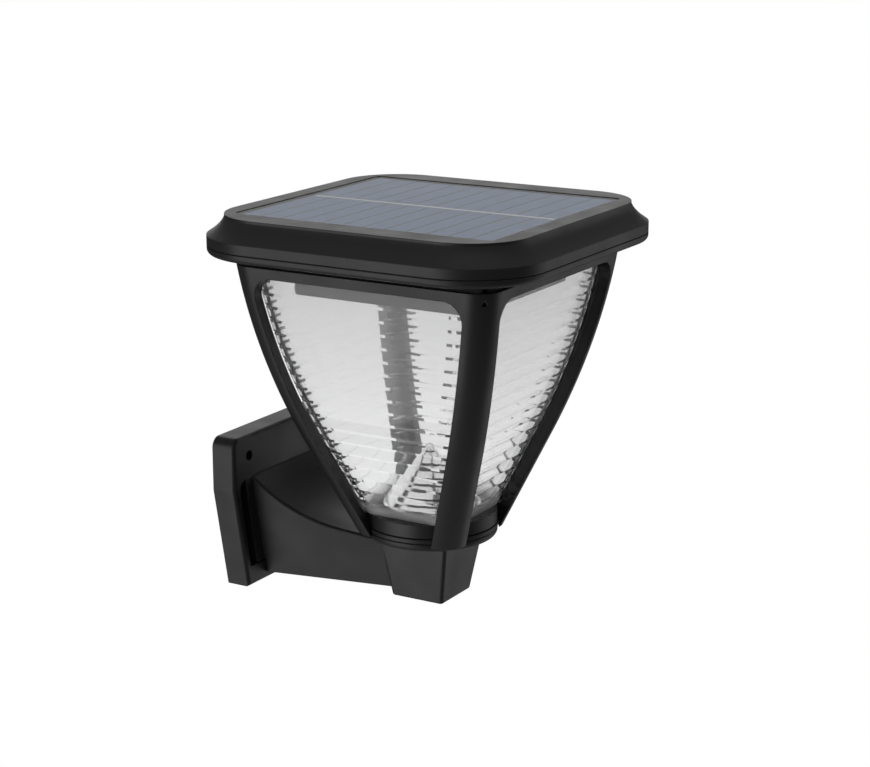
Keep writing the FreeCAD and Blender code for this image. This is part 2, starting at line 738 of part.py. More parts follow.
def make_lid_base():
    made = body("lid_base")
    rim = rounded(made, "rim_outline", lid_half, lid_corner, base_top)
    pad(made, "rim_pad", rim, base_top - rim_low, reverse=True)

    def under_rim(edge):
        box = edge.BoundBox
        return near(box.ZMin, rim_low.value) and near(box.ZMax, rim_low.value)

    soften(made, "rim_underside", under_rim, rim_round)
    upper_half = lid_half - rim_round - snug * 2
    lower_half = soffit_half
    sections = [
        rounded(made, "soffit_upper", upper_half, lid_corner - lid_half + upper_half, rim_low),
        rounded(made, "soffit_lower", lower_half, lid_corner - lid_half + lower_half, soffit),
    ]
    loft(made, "soffit_slope", sections)
    sections = [
        rounded(made, "tray_upper", tray_top, tray_corner, soffit),
        rounded(made, "tray_lower", tray_foot, tray_corner - 1, tray_bottom),
    ]
    loft(made, "tray_box", sections)
    boss = circles(made, "switch_boss_circle", [(switch_out, 0)], switch_boss, soffit)
    pad(made, "switch_boss_pad", boss, rim_floor - soffit)

    wall_half = lid_half - shell
    wide_half = wall_half - snug * 2
    wide = rounded(made, "rim_hollow", wide_half, lid_corner - lid_half + wide_half, base_top)
    pocket(made, "rim_cut", wide, base_top - rim_floor)
    inner = soffit_half + floor_margin
    deep = rounded(made, "floor_hollow", inner, lid_corner - lid_half + inner, rim_floor)
    pocket(made, "floor_cut", deep, rim_floor - inner_floor)
    well_half = tray_foot - tray_wall
    well = rounded(made, "tray_hollow", well_half, tray_corner - tray_wall, inner_floor)
    pocket(made, "tray_cut", well, inner_floor - tray_floor)

    light = circles(made, "light_circle_sketch", [(0, 0)], light_radius, tray_floor)
    pocket(made, "light_cut", light, tray_floor - tray_bottom)
    seat = circles(made, "window_seat", [(0, 0)], window_radius + snug, tray_bottom)
    pocket(made, "window_cut", seat, window_thick + snug, reverse=True)
    bush = circles(made, "bush_hole", [(switch_out, 0)], bush_radius + snug, rim_floor)
    pocket(made, "bush_cut", bush, rim_floor - soffit)

    shank = shank_radius + snug
    lid_holes = circles(made, "lid_holes", corners(lid_screw_at), shank, rim_floor)
    pocket(made, "lid_hole_cut", lid_holes, rim_floor - soffit)
    seats = circles(made, "lid_seats", corners(lid_screw_at), head_radius + loose, soffit)
    pocket(made, "lid_seat_cut", seats, rim_low + seat_deep - soffit, reverse=True)
    cage_holes = circles(made, "cage_holes", corners(cage_screw_at), shank, inner_floor)
    pocket(made, "cage_hole_cut", cage_holes, inner_floor - soffit)

    posts = circles(made, "standoff_circles", control_spots(), boss_radius, tray_floor)
    pad(made, "standoff_pad", posts, standoff)
    threads = circles(made, "standoff_holes", control_spots(), shank, tray_floor + standoff)
    pocket(made, "standoff_bores", threads, standoff)
    return made


def make_lid_seal():
    made = body("lid_seal")
    outer = lid_half - seam_inset
    inner = lid_half - shell + snug * 2
    ring = rounded(made, "lid_seal_ring", outer, lid_corner - seam_inset, base_top)
    add_rounded(ring, inner, inner, lid_corner - lid_half + inner)
    pad(made, "lid_seal_pad", ring, seam_gap)
    return made


def make_lid_cover():
    made = body("lid_cover")
    wall = rounded(made, "wall_outline", lid_half, lid_corner, cover_low)
    wall_top = seam_height + lid_wall
    pad(made, "wall_pad", wall, wall_top - cover_low)
    lip_low = lid_top - skirt_lip
    rise = lip_low - wall_top
    sections = []
    stations = 4
    for k in range(stations + 1):
        share = k / stations
        # The hollow follows a parabola over the straight line from wall to lip.
        sag = skirt_sag * (4 * share * (1 - share) * 1.35)
        inset = skirt_run * share + sag
        sections.append(
            rounded(
                made,
                f"skirt_{k}",
                lid_half - inset,
                lid_corner - inset,
                wall_top + rise * share,
            )
        )
    loft(made, "skirt_loft", sections)
    lip = rounded(made, "lip_outline", flat_half, lid_corner - skirt_run, lip_low)
    pad(made, "lip_pad", lip, skirt_lip)

    wide_half = lid_half - shell - snug * 2
    wide = rounded(made, "cover_hollow", wide_half, lid_corner - lid_half + wide_half, cover_low)
    pocket(made, "cover_cut", wide, wall_top - cover_low - brow, reverse=True)
    high_half = flat_half - shell
    high = rounded(made, "roof_hollow", high_half, lid_corner - skirt_run - shell, cover_low)
    pocket(made, "roof_cut", high, roof_low - cover_low, reverse=True)
    bosses = circles(made, "lid_boss_circles", corners(lid_screw_at), boss_radius, rim_floor)
    pad(made, "lid_boss_pad", bosses, wall_top - rim_floor)
    threads = circles(
        made, "lid_boss_holes", corners(lid_screw_at), shank_radius + snug, rim_floor
    )
    pocket(made, "lid_boss_bores", threads, screw_bite + snug, reverse=True)
    bed = rounded(
        made,
        "panel_bed",
        panel_wide / 2 + snug,
        panel_corner + snug,
        lid_top,
        half_y=panel_long / 2 + snug,
    )
    pocket(made, "panel_cut", bed, lid_top - panel_floor)
    lead = circles(made, "lead_hole", [(0, 0)], shank_radius * 2, panel_floor)
    pocket(made, "lead_cut", lead, shell)
    return made


def panel_slab(name, low, thick, margin):
    """One flat layer of the panel."""
    made = body(name)
    outline = rounded(
        made,
        name + "_outline",
        panel_wide / 2 - margin,
        panel_corner - margin,
        low,
        half_y=panel_long / 2 - margin,
    )
    pad(made, name + "_pad", outline, thick)
    return made


def make_panel():
    backing = panel_slab("panel_board", panel_floor, board_thick, as_size(0.3))
    cells_low = panel_floor + board_thick
    glass_low = lid_top - panel_sunk - glass_thick
    glass = panel_slab("panel_glass", glass_low, glass_thick, as_size(0))
    count = int(cell_count.value)
    strips = []
    for k in range(count):
        centre = (k - (count - 1) / 2) * cell_pitch.value
        width = cell_pitch.value - cell_gap.value
        corner = Vector(-cell_long.value / 2, centre - width / 2, cells_low.value)
        strips.append(Part.makeBox(cell_long.value, width, cell_thick.value, corner))
    cells = group("solar_cells", strips)
    ribbon = body("cell_ribbon")
    half = ribbon_wide / 2
    reach = cell_pitch * cell_count / 2
    points = [(-half, -reach), (half, -reach), (half, reach), (-half, reach)]
    strip = polygon(ribbon, "ribbon_outline", "XY_Plane", points, cells_low + cell_thick)
    pad(ribbon, "ribbon_pad", strip, ribbon_thick)
    return [backing, glass, cells, ribbon]


# %% Inside the tray: light source, battery and control board


def control_spots():
    x = control_long / 2 - boss_radius
    y = control_wide / 2 - boss_radius
    return [(x, -control_front - y), (-x, -control_front + y)]


def slab(name, half_x, half_y, height, thick, at_y=0, at_x=0):
    """A flat rectangular piece."""
    made = body(name)
    at_x = as_size(at_x)
    at_y = as_size(at_y)
    points = [
        (at_x - half_x, at_y - half_y),
        (at_x + half_x, at_y - half_y),
        (at_x + half_x, at_y + half_y),
        (at_x - half_x, at_y + half_y),
    ]
    pad(made, name + "_pad", polygon(made, name + "_outline", "XY_Plane", points, height), thick)
    return made


def make_light_source():
    disc = body("led_window")
    circle = circles(disc, "led_window_circle", [(0, 0)], window_radius, tray_bottom + snug)
    pad(disc, "led_window_pad", circle, window_thick)
    board = slab("led_board", light_board_half, light_board_half, tray_floor, board_thick)
    chips = []
    side = chip_side.value
    for k in range(int(light_count.value)):
        chip = Part.makeBox(side, side, chip_high.value, Vector(-side / 2, -side / 2, 0))
        chip.translate(Vector(light_circle.value, 0, tray_floor.value - chip_high.value))
        chip.rotate(Vector(0, 0, 0), Vector(0, 0, 1), 360 * k / light_count.value)
        chips.append(chip)
    return [disc, board, group("led_chips", chips)]


def make_battery():
    axis_height = tray_floor + holder_wall + battery_radius
    cell_body = doc.addObject("Part::Cylinder", "battery")
    bind(cell_body, "Radius", battery_radius)
    bind(cell_body, "Height", battery_long)
    cell_body.Placement = Placement(Vector(0, 0, 0), Rotation(Vector(0, 1, 0), 90))
    bind(cell_body, "Placement.Base.x", -battery_long / 2)
    bind(cell_body, "Placement.Base.y", battery_back - axis_reach)
    bind(cell_body, "Placement.Base.z", axis_height)

    half_x = battery_long / 2 + contact_thick * 2 + holder_wall
    half_y = battery_radius + holder_wall + loose
    holder = slab("battery_holder", half_x, half_y, tray_floor, holder_high, at_y=battery_back)
    low = battery_back - half_y + holder_wall
    high = battery_back + half_y - holder_wall
    room = half_x - holder_wall
    points = [(-room, low), (room, low), (room, high), (-room, high)]
    well = polygon(holder, "holder_room", "XY_Plane", points, tray_floor + holder_high)
    pocket(holder, "holder_cut", well, holder_high - holder_wall)

    plates = []
    for side in (-1, 1):
        gap = battery_long.value / 2 + snug.value
        x = gap if side > 0 else -gap - contact_thick.value
        corner = Vector(
            x, battery_back.value - battery_radius.value / 2, (tray_floor + holder_wall).value
        )
        plates.append(
            Part.makeBox(
                contact_thick.value,
                battery_radius.value,
                (holder_high - holder_wall).value,
                corner,
            )
        )
    return [cell_body, holder, group("battery_contacts", plates)]


def make_control():
    low = tray_floor + standoff
    board = slab(
        "control_board", control_long / 2, control_wide / 2, low, board_thick, -control_front
    )
    holes = circles(
        board, "control_holes", control_spots(), shank_radius + snug, low + board_thick
    )
    pocket(board, "control_bores", holes, board_thick)
    top = (low + board_thick).value
    middle_y = -control_front.value
    seat = Vector(coil_along.value, middle_y - row_front.value, top)
    coil = Part.makeCylinder(coil_radius.value, coil_high.value, seat, Vector(0, 0, 1))
    seat = Vector(can_along.value, middle_y + row_back.value, top)
    can = Part.makeCylinder(can_radius.value, can_high.value, seat, Vector(0, 0, 1))
    long, wide = chip_long.value, chip_wide.value
    corner = Vector(chip_along.value - long / 2, middle_y - row_chip.value - wide / 2, top)
    chip = Part.makeBox(long, wide, chip_thick.value, corner)
    long, side = plug_long.value, plug_side.value
    corner = Vector(plug_along.value - long / 2, middle_y + row_plug.value - side / 2, top)
    plug = Part.makeBox(long, side, side, corner)
    parts = group("board_parts", [coil, can, chip, plug])
    length = (standoff + board_thick).value - loose.value
    screws = [screw(Vector(x.value, y.value, top), DOWN, length) for x, y in control_spots()]
    return [board, parts, group("board_screws", screws)]


# %% Push switch: a body over the rim's floor, a threaded bush, its nut and the button


def make_switch():
    made = slab(
        "switch_body", switch_side / 2, switch_side / 2, rim_floor, switch_high, 0, switch_out
    )
    barrel = circles(made, "bush_outline", [(switch_out, 0)], bush_radius, rim_floor)
    pad(made, "bush_pad", barrel, rim_floor - soffit + bush_out, reverse=True)
    low = soffit - bush_out
    bore = circles(made, "bush_bore_circle", [(switch_out, 0)], bush_bore, low)
    depth = button_in + button_travel + loose
    pocket(made, "bush_bore_cut", bore, depth, reverse=True)

    nut = body("switch_nut")
    tip = nut_flat * (2 / math.sqrt(3))
    points = [
        (switch_out + tip, 0),
        (switch_out + tip / 2, nut_flat),
        (switch_out - tip / 2, nut_flat),
        (switch_out - tip, 0),
        (switch_out - tip / 2, -nut_flat),
        (switch_out + tip / 2, -nut_flat),
    ]
    hexagon = polygon(nut, "nut_outline", "XY_Plane", points, soffit - nut_high)
    pad(nut, "nut_pad", hexagon, nut_high)
    thread = circles(nut, "nut_thread", [(switch_out, 0)], bush_radius + snug, soffit)
    pocket(nut, "nut_bore", thread, nut_high)

    button = body("switch_button")
    disc = circles(button, "button_circle", [(switch_out, 0)], button_radius, low - button_out)
    pad(button, "button_pad", disc, button_out + button_in)

    def lower_edge(edge):
        return near(edge.BoundBox.ZMax, (low - button_out).value)

    soften(button, "button_end", lower_edge, button_radius / 4)
    return [made, nut, button]


# %% Neck ring, bracket and wall plate


def make_neck_ring():
    made = body("neck_ring")
    inner = neck_radius - groove_deep
    slope = groove_high / 2
    section = [
        (neck_bore, neck_low),
        (inner, neck_low),
        (inner, neck_low + slope),
        (neck_radius, neck_low + groove_high),
        (neck_radius, ring_low - groove_high),
        (inner, ring_low - slope),
        (inner, ring_low),
        (neck_bore, ring_low),
    ]
    turn(made, "neck_turn", polygon(made, "neck_section", "XZ_Plane", section))
    return made


def block_half(height):
    """Half the side of the block at a height."""
    share = (height - block_low) / (flange_low - block_low)
    return block_foot + (block_top - block_foot) * share


def square(made, name, half, height):
    half = as_size(half)
    points = [(-half, -half), (half, -half), (half, half), (-half, half)]
    return polygon(made, name, "XY_Plane", points, height)


def make_block():
    """The square block under the flange, with the round flange on top."""
    made = body("base_block")
    sections = [
        square(made, "block_upper", block_top, flange_low),
        square(made, "block_lower", block_foot, block_low),
    ]
    loft(made, "block_loft", sections)

    def standing(edge):
        return edge.BoundBox.ZLength > 10

    soften(made, "block_edges", standing, block_edge)

    def underneath(edge):
        return near(edge.BoundBox.ZMax, block_low.value)

    soften(made, "block_bottom", underneath, block_under)
    disc = circles(made, "flange_circle", [(0, 0)], flange_radius, flange_low)
    pad(made, "flange_pad", disc, neck_low - flange_low)

    def flange_rim(edge):
        box = edge.BoundBox
        return near(box.ZMax, flange_low.value) and box.XLength > flange_radius.value

    soften(made, "flange_underside", flange_rim, flange_round)
    return made


def make_arm():
    """The arm from the block to the plate, narrow below, with a hollow curve along its top."""
    made = body("arm_form")
    start = block_foot - block_wall
    high = arm_root + arm_edge * 3
    rise = high - arm_low

    def section(name, low_half, draft, at):
        top_half = low_half + draft * rise
        points = [(-low_half, arm_low), (low_half, arm_low), (top_half, high), (-top_half, high)]
        return polygon(made, name, "XZ_Plane", points, -at)

    near_end = section("arm_near_end", arm_near, arm_draft_near, start)
    far_end = section("arm_far_end", arm_far, arm_draft_far, front)
    loft(made, "arm_loft", [near_end, far_end])

    over = high + 5
    begin = start - 5
    points = [
        (front, arm_root),
        (front + 5, arm_root),
        (front + 5, over),
        (begin, over),
        (begin, arm_end),
        (block_top, arm_end),
        (arm_bend, arm_bend_height),
    ]
    hollow = polygon(made, "arm_hollow_top", "YZ_Plane", points, 0, {6: (arm_dip, -1)})
    pocket(made, "arm_top_cut", hollow, lid_side, middle=True)

    def top_rim(edge):
        box = edge.BoundBox
        middle = edge.valueAt((edge.FirstParameter + edge.LastParameter) / 2)
        return box.YLength > 10 and abs(middle.x) > 5 and middle.z > arm_end.value

    soften(made, "arm_rim", top_rim, arm_edge)

    points = [
        (-foot_low, foot_drop),
        (foot_low, foot_drop),
        (foot_top, foot_height),
        (-foot_top, foot_height),
    ]
    foot = polygon(made, "foot_outline", "XZ_Plane", points, -front)
    pad(made, "foot_pad", foot, plate_thick - pocket_floor, reverse=True)
    return made


def make_bracket():
    solid = fuse("bracket_solid", make_block(), make_arm())
    roof = neck_low - block_roof
    room = body("bracket_room")
    low = block_low - 1
    sections = [
        square(room, "room_lower", block_half(low) - block_wall, low),
        square(room, "room_upper", block_half(roof) - block_wall, roof),
    ]
    loft(room, "room_loft", sections)
    holes = circles(room, "neck_holes", corners(neck_screw_at), shank_radius + snug, roof)
    pad(room, "neck_hole_pad", holes, block_roof)

    core = body("arm_core")
    back = front + plate_thick - pocket_floor
    half = arm_core_half
    core_low = arm_low + arm_wall
    core_high = arm_end - arm_wall
    points = [(-half, core_low), (half, core_low), (half, core_high), (-half, core_high)]
    pad(core, "core_pad", polygon(core, "core_outline", "XZ_Plane", points, -back), arm_core_deep)
    threads = circles(
        core, "foot_threads", foot_screw_spots(), shank_radius + snug, -back, role="XZ_Plane"
    )
    pad(core, "foot_thread_pad", threads, screw_bite + snug)
    return cut("bracket_arm", cut("bracket_open", solid, room), core)


def foot_screw_spots():
    """Two screws near the foot's top corners and two near its low ones."""
    wide, high = foot_top - foot_screw_in, foot_height - foot_screw_down
    narrow, low = foot_low - foot_screw_near, foot_drop + foot_screw_up
    return [(wide, high), (-wide, high), (narrow, low), (-narrow, low)]


def make_wall_plate():
    made = body("wall_plate", on_axis=False)
    points = [
        (-plate_foot, plate_low),
        (plate_foot, plate_low),
        (plate_half, plate_kink),
        (plate_half, plate_top),
        (-plate_half, plate_top),
        (-plate_half, plate_kink),
    ]
    pad(made, "plate_pad", polygon(made, "plate_outline", "XZ_Plane", points), plate_thick)

    def top_corner(edge):
        box = edge.BoundBox
        return near(box.ZMin, plate_top.value) and box.XLength < 0.1

    soften(made, "plate_corners", top_corner, plate_corner)

    def front_edge(edge):
        box = edge.BoundBox
        return near(box.YMin, box.YMax) and near(box.YMin, -plate_thick.value)

    soften(made, "plate_front", front_edge, plate_edge)

    points = [
        (-pocket_low, pocket_drop),
        (pocket_low, pocket_drop),
        (pocket_top, pocket_rise),
        (-pocket_top, pocket_rise),
    ]
    recess = polygon(made, "recess_outline", "XZ_Plane", points, plate_thick)
    pocket(made, "recess_cut", recess, plate_thick - pocket_floor)

    def recess_corner(edge):
        box = edge.BoundBox
        inside = near(box.YMin, -plate_thick.value) and near(box.YMax, -pocket_floor.value)
        return inside and box.ZLength < 0.1 and box.ZMin > 0

    soften(made, "recess_corners", recess_corner, pocket_corner)

    hollow_top = plate_top - block_wall
    half = hollow_half
    points = [(-half, hollow_low), (half, hollow_low), (half, hollow_top), (-half, hollow_top)]
    back = polygon(made, "back_hollow", "XZ_Plane", points)
    pocket(made, "back_cut", back, hollow_deep, reverse=True)
    spots = [(hole_half, hole_height), (-hole_half, hole_height)]
    holes = circles(made, "wall_holes", spots, hole_radius, role="XZ_Plane")
    pocket(made, "wall_hole_cut", holes, plate_thick, reverse=True)
    screws = foot_screw_spots()
    through = circles(made, "foot_holes", screws, shank_radius + snug, role="XZ_Plane")
    pocket(made, "foot_hole_cut", through, pocket_floor, reverse=True)
    seats = circles(made, "foot_seats", screws, head_radius + loose, role="XZ_Plane")
    pocket(made, "foot_seat_cut", seats, pocket_floor / 2, reverse=True)
    return made


def make_screws():
    """Every kind of screw in its place."""
    seat = (neck_low - block_roof).value
    length = (floor_top + boss_height).value - seat - loose.value
    spots = [(x.value, y.value) for x, y in corners(neck_screw_at)]
    neck = group("neck_screws", [screw(Vector(x, y, seat), UP, length) for x, y in spots])

    seat = inner_floor.value
    length = seat - rail_top.value + screw_bite.value
    spots = [(x.value, y.value) for x, y in corners(cage_screw_at)]
    cage = group("cage_screws", [screw(Vector(x, y, seat), DOWN, length) for x, y in spots])

    seat = (rim_low + seat_deep).value
    length = rim_floor.value - seat + screw_bite.value
    spots = [(x.value, y.value) for x, y in corners(lid_screw_at)]
    lid = group("lid_screws", [screw(Vector(x, y, seat), UP, length) for x, y in spots])

    seat = (axis_reach - pocket_floor / 2).value
    length = (pocket_floor / 2 + screw_bite).value
    spots = [(x.value, z.value) for x, z in foot_screw_spots()]
    foot = group("foot_screws", [screw(Vector(x, seat, z), OUT, length) for x, z in spots])
    return [neck, cage, lid, foot]


# %% The whole light


def place(name, thing):
    thing.Label = name
    return thing


pieces = [
    place("wall_plate", make_wall_plate()),
    place("bracket_arm", make_bracket()),
    place("neck_ring", make_neck_ring()),
    place("cage_frame", make_cage()),
    place("lens", make_lens()),
    place("reflector_cone", make_reflector()),
    place("lens_seal", make_lens_seal()),
    place("lid_base", make_lid_base()),
    place("lid_seal", make_lid_seal()),
    place("lid_cover", make_lid_cover()),
]
pieces += make_panel() + make_light_source() + make_battery() + make_control() + make_switch()
pieces += make_screws()
doc.recompute()

for thing in doc.Objects:
    if "Invalid" in thing.State or "Error" in thing.State:
        raise RuntimeError(f"{thing.Name} failed: {thing.State}")
facets = 0
for thing in pieces:
    shape = thing.Shape
    if shape.isNull() or not shape.isValid():
        raise RuntimeError(f"{thing.Label} has no valid shape")
    mesh = shape.tessellate(0.1)
    facets += len(mesh[1])
    print(f"{thing.Label:18} {len(shape.Solids):3} solids {shape.Volume:11.1f} mm3 {len(mesh[1])}")
print("facets in all", facets)

os.makedirs("parts", exist_ok=True)
for thing in pieces:
    thing.Shape.exportStep(f"parts/{thing.Label}.step")
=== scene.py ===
# %% [markdown]
# # A solar fence light, dressed for the camera
# The frame holds every moulded part at its real size. This script loads it, sets up a
# small studio, gives each part its finish, and draws again what plain solids leave out:
# the lens's prism steps, the reflector's ridges, the soldered ribbon and the screws.

# %% Load the frame
import json
import math

import bmesh
import bpy
from mathutils import Matrix, Vector


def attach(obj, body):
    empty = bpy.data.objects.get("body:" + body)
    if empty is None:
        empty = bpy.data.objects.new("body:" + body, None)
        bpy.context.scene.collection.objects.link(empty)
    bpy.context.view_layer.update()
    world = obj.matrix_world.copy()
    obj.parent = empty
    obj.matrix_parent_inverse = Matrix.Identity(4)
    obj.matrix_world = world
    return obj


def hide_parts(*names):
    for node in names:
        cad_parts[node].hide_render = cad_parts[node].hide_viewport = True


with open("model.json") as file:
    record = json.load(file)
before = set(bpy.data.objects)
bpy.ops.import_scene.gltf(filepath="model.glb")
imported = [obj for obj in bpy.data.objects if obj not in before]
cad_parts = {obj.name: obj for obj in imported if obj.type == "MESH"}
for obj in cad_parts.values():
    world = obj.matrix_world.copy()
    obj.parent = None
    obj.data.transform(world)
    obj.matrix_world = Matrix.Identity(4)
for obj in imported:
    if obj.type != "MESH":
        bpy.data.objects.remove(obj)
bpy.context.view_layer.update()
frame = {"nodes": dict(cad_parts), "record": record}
nodes = frame["nodes"]
MM = 0.001
print("loaded", len(nodes), "nodes")

# %% [markdown]
# ## Camera
# The photograph looks at the light from its left front and a little above, through a
# long lens. A camera can be placed by hand and turned until it fits, but then its
# numbers say nothing. Azimuth, elevation and distance about the lantern's axis keep
# those three readable, and two small moves, sideways and up, aim the camera without
# turning it.

# %% Camera
AXIS_Y = -0.080
SEAM_Z = 0.120
CAMERA_AZIMUTH = math.radians(-59.6)
CAMERA_ELEVATION = math.radians(14.55)
CAMERA_DISTANCE = 0.869
CAMERA_ACROSS = 0.00155
CAMERA_UP = -0.06053
CAMERA_REACH = 60
FOCAL_PIXELS = 2118.06
PHOTO_WIDTH = 870
SENSOR = 36.0

back = Vector(
    (
        math.sin(CAMERA_AZIMUTH) * math.cos(CAMERA_ELEVATION),
        -math.cos(CAMERA_AZIMUTH) * math.cos(CAMERA_ELEVATION),
        math.sin(CAMERA_ELEVATION),
    )
)
right = Vector((math.cos(CAMERA_AZIMUTH), math.sin(CAMERA_AZIMUTH), 0))
up = back.cross(right)
place = Vector((0, AXIS_Y, SEAM_Z)) + back * CAMERA_DISTANCE
place += right * CAMERA_ACROSS + up * CAMERA_UP
turn = Matrix((right, up, back)).transposed().to_4x4()

camera_data = bpy.data.cameras.new("camera")
camera_data.sensor_width = SENSOR
camera_data.lens = FOCAL_PIXELS / PHOTO_WIDTH * SENSOR
camera_data.clip_end = CAMERA_REACH
camera = bpy.data.objects.new("camera", camera_data)
bpy.context.scene.collection.objects.link(camera)
camera.matrix_world = Matrix.Translation(place) @ turn
bpy.context.scene.camera = camera
bpy.context.scene.view_settings.view_transform = "Standard"
print("camera stands at", [round(value, 3) for value in place])

# %% [markdown]
# ## Shader helpers
# A finish is a small network of nodes. These few helpers each add one node and feed it,
# so the finishes below read as recipes. Patterns come from noise in object coordinates,
# which run in metres here, so a pattern keeps its real size on every piece.

# %% Shader helpers


def feed(tree, socket, value):
    """Give a socket another node's output, or a number or colour of its own."""
    if isinstance(value, bpy.types.NodeSocket):
        tree.links.new(value, socket)
    else:
        socket.default_value = value


def worked_out(tree, operation, first, second):
    """A Math node on two values."""
    node = tree.nodes.new("ShaderNodeMath")
    node.operation = operation
    feed(tree, node.inputs[0], first)
    feed(tree, node.inputs[1], second)
    return node.outputs[0]


def ranged(tree, value, low, high, start=0.0, stop=1.0):
    """Map a value that runs from start to stop onto low to high."""
    node = tree.nodes.new("ShaderNodeMapRange")
    tree.links.new(value, node.inputs["Value"])
    node.inputs["From Min"].default_value = start
    node.inputs["From Max"].default_value = stop
    node.inputs["To Min"].default_value = low
    node.inputs["To Max"].default_value = high
    return node.outputs["Result"]


def blended_colour(tree, share, first, second):
    """A Mix node on two colours."""
    node = tree.nodes.new("ShaderNodeMix")
    node.data_type = "RGBA"
    feed(tree, node.inputs["Factor"], share)
    feed(tree, node.inputs["A"], first)
    feed(tree, node.inputs["B"], second)
    return node.outputs["Result"]


def blended_shader(tree, share, first, second):
    """A Mix Shader node on two shaders."""
    node = tree.nodes.new("ShaderNodeMixShader")
    feed(tree, node.inputs["Fac"], share)
    tree.links.new(first.outputs[0], node.inputs[1])
    tree.links.new(second.outputs[0], node.inputs[2])
    return node


def to_surface(tree, shader):
    tree.links.new(shader.outputs[0], tree.nodes["Material Output"].inputs["Surface"])


def new_finish(name, colour, roughness):
    """A material with one Principled shader, which holds what is even over the part."""
    material = bpy.data.materials.new(name)
    material.use_nodes = True
    shader = material.node_tree.nodes["Principled BSDF"]
    shader.inputs["Base Color"].default_value = (*colour, 1)
    shader.inputs["Roughness"].default_value = roughness
    return material, material.node_tree, shader


# %% [markdown]
# ## Studio
# A black part shows almost nothing but reflections, so the studio is built around what
# each face mirrors: a broad soft light on the left, a weaker one on the right front,
# one behind, and a fill overhead that no face mirrors. White walls would light the part
# grey all over. So the floor and the world are white only to rays that look at them
# straight or through the clear lens, and dim to all others.

# %% Studio floor and world
FLOOR_Z = -1.1
FLOOR_SIZE = 60
FLOOR_GREY = (0.5, 0.5, 0.5)
ROOM_DIM = 0.11
ROOM_WHITE = 1.0


def looks_straight(tree):
    """1 for rays from the camera or through the lens, and 0 for the rest."""
    light_path = tree.nodes.new("ShaderNodeLightPath")
    return worked_out(
        tree,
        "MAXIMUM",
        light_path.outputs["Is Camera Ray"],
        light_path.outputs["Is Transmission Ray"],
    )


def make_floor():
    bpy.ops.mesh.primitive_plane_add(size=FLOOR_SIZE, location=(0, 0, FLOOR_Z))
    floor = bpy.context.object
    floor.name = "floor"
    material, tree, paper = new_finish("studio_floor", FLOOR_GREY, 0.9)
    white = tree.nodes.new("ShaderNodeEmission")
    white.inputs["Color"].default_value = (1, 1, 1, 1)
    white.inputs["Strength"].default_value = ROOM_WHITE
    to_surface(tree, blended_shader(tree, looks_straight(tree), paper, white))
    floor.data.materials.append(material)


def make_world():
    world = bpy.data.worlds.new("studio_world")
    bpy.context.scene.world = world
    world.use_nodes = True
    tree = world.node_tree
    room = tree.nodes["Background"]
    room.inputs["Color"].default_value = (1, 1, 1, 1)
    strength = ranged(tree, looks_straight(tree), ROOM_DIM, ROOM_WHITE)
    tree.links.new(strength, room.inputs["Strength"])


make_floor()
make_world()
print("floor at", FLOOR_Z, "m")

# %% Studio lights
LANTERN_MIDDLE = Vector((0, AXIS_Y, 0.06))


def soft_light(name, place, width, height, glow, mirrored=True):
    """A softbox aimed at the lantern. Its glow is how bright it looks in a mirror."""
    data = bpy.data.lights.new(name, "AREA")
    data.shape = "RECTANGLE"
    data.size = width
    data.size_y = height
    data.energy = glow * math.pi * width * height
    lamp = bpy.data.objects.new(name, data)
    bpy.context.scene.collection.objects.link(lamp)
    toward = (LANTERN_MIDDLE - Vector(place)).normalized()
    aim = toward.to_track_quat("-Z", "Y").to_matrix().to_4x4()
    lamp.matrix_world = Matrix.Translation(place) @ aim
    lamp.visible_camera = False
    lamp.visible_transmission = False
    lamp.visible_glossy = mirrored
    print(name, round(data.energy, 2), "W")


soft_light("left_light", (-1.10, 0.45, -0.22), width=1.0, height=1.6, glow=1.43)
soft_light("right_light", (0.95, -0.72, -0.22), width=0.85, height=1.6, glow=0.5)
soft_light("back_light", (1.1, 0.65, 0.50), width=1.2, height=0.9, glow=0.78)
soft_light(
    "top_fill", (-0.2, -0.3, 1.4), width=1.0, height=1.0, glow=5.5, mirrored=False
)

# %% [markdown]
# ## Black plastic, and the other grained plastics
# The lantern is moulded in black plastic with a fine spark-eroded grain. Its gloss
# wanders a little over each face, and its edges are never razor sharp. Bevelling every
# edge of the solids would be the other way. The Bevel node rounds them in the shading
# alone, which is enough at a radius of half a millimetre.

# %% Grained plastics
EDGE_ROUND = 0.0005
EDGE_SAMPLES = 4
GRAIN_DEPTH = 0.0001


def noise(tree, scale, detail, roughness=0.5):
    """Noise over object coordinates; scale is in features per metre."""
    place = tree.nodes.new("ShaderNodeTexCoord")
    texture = tree.nodes.new("ShaderNodeTexNoise")
    texture.inputs["Scale"].default_value = scale
    texture.inputs["Detail"].default_value = detail
    texture.inputs["Roughness"].default_value = roughness
    tree.links.new(place.outputs["Object"], texture.inputs["Vector"])
    return texture.outputs["Fac"]


def grain(tree, shader, height, strength):
    """Raise a fine bump on the shader from a height."""
    bump = tree.nodes.new("ShaderNodeBump")
    bump.inputs["Strength"].default_value = strength
    bump.inputs["Distance"].default_value = GRAIN_DEPTH
    tree.links.new(height, bump.inputs["Height"])
    tree.links.new(bump.outputs["Normal"], shader.inputs["Normal"])
    return bump


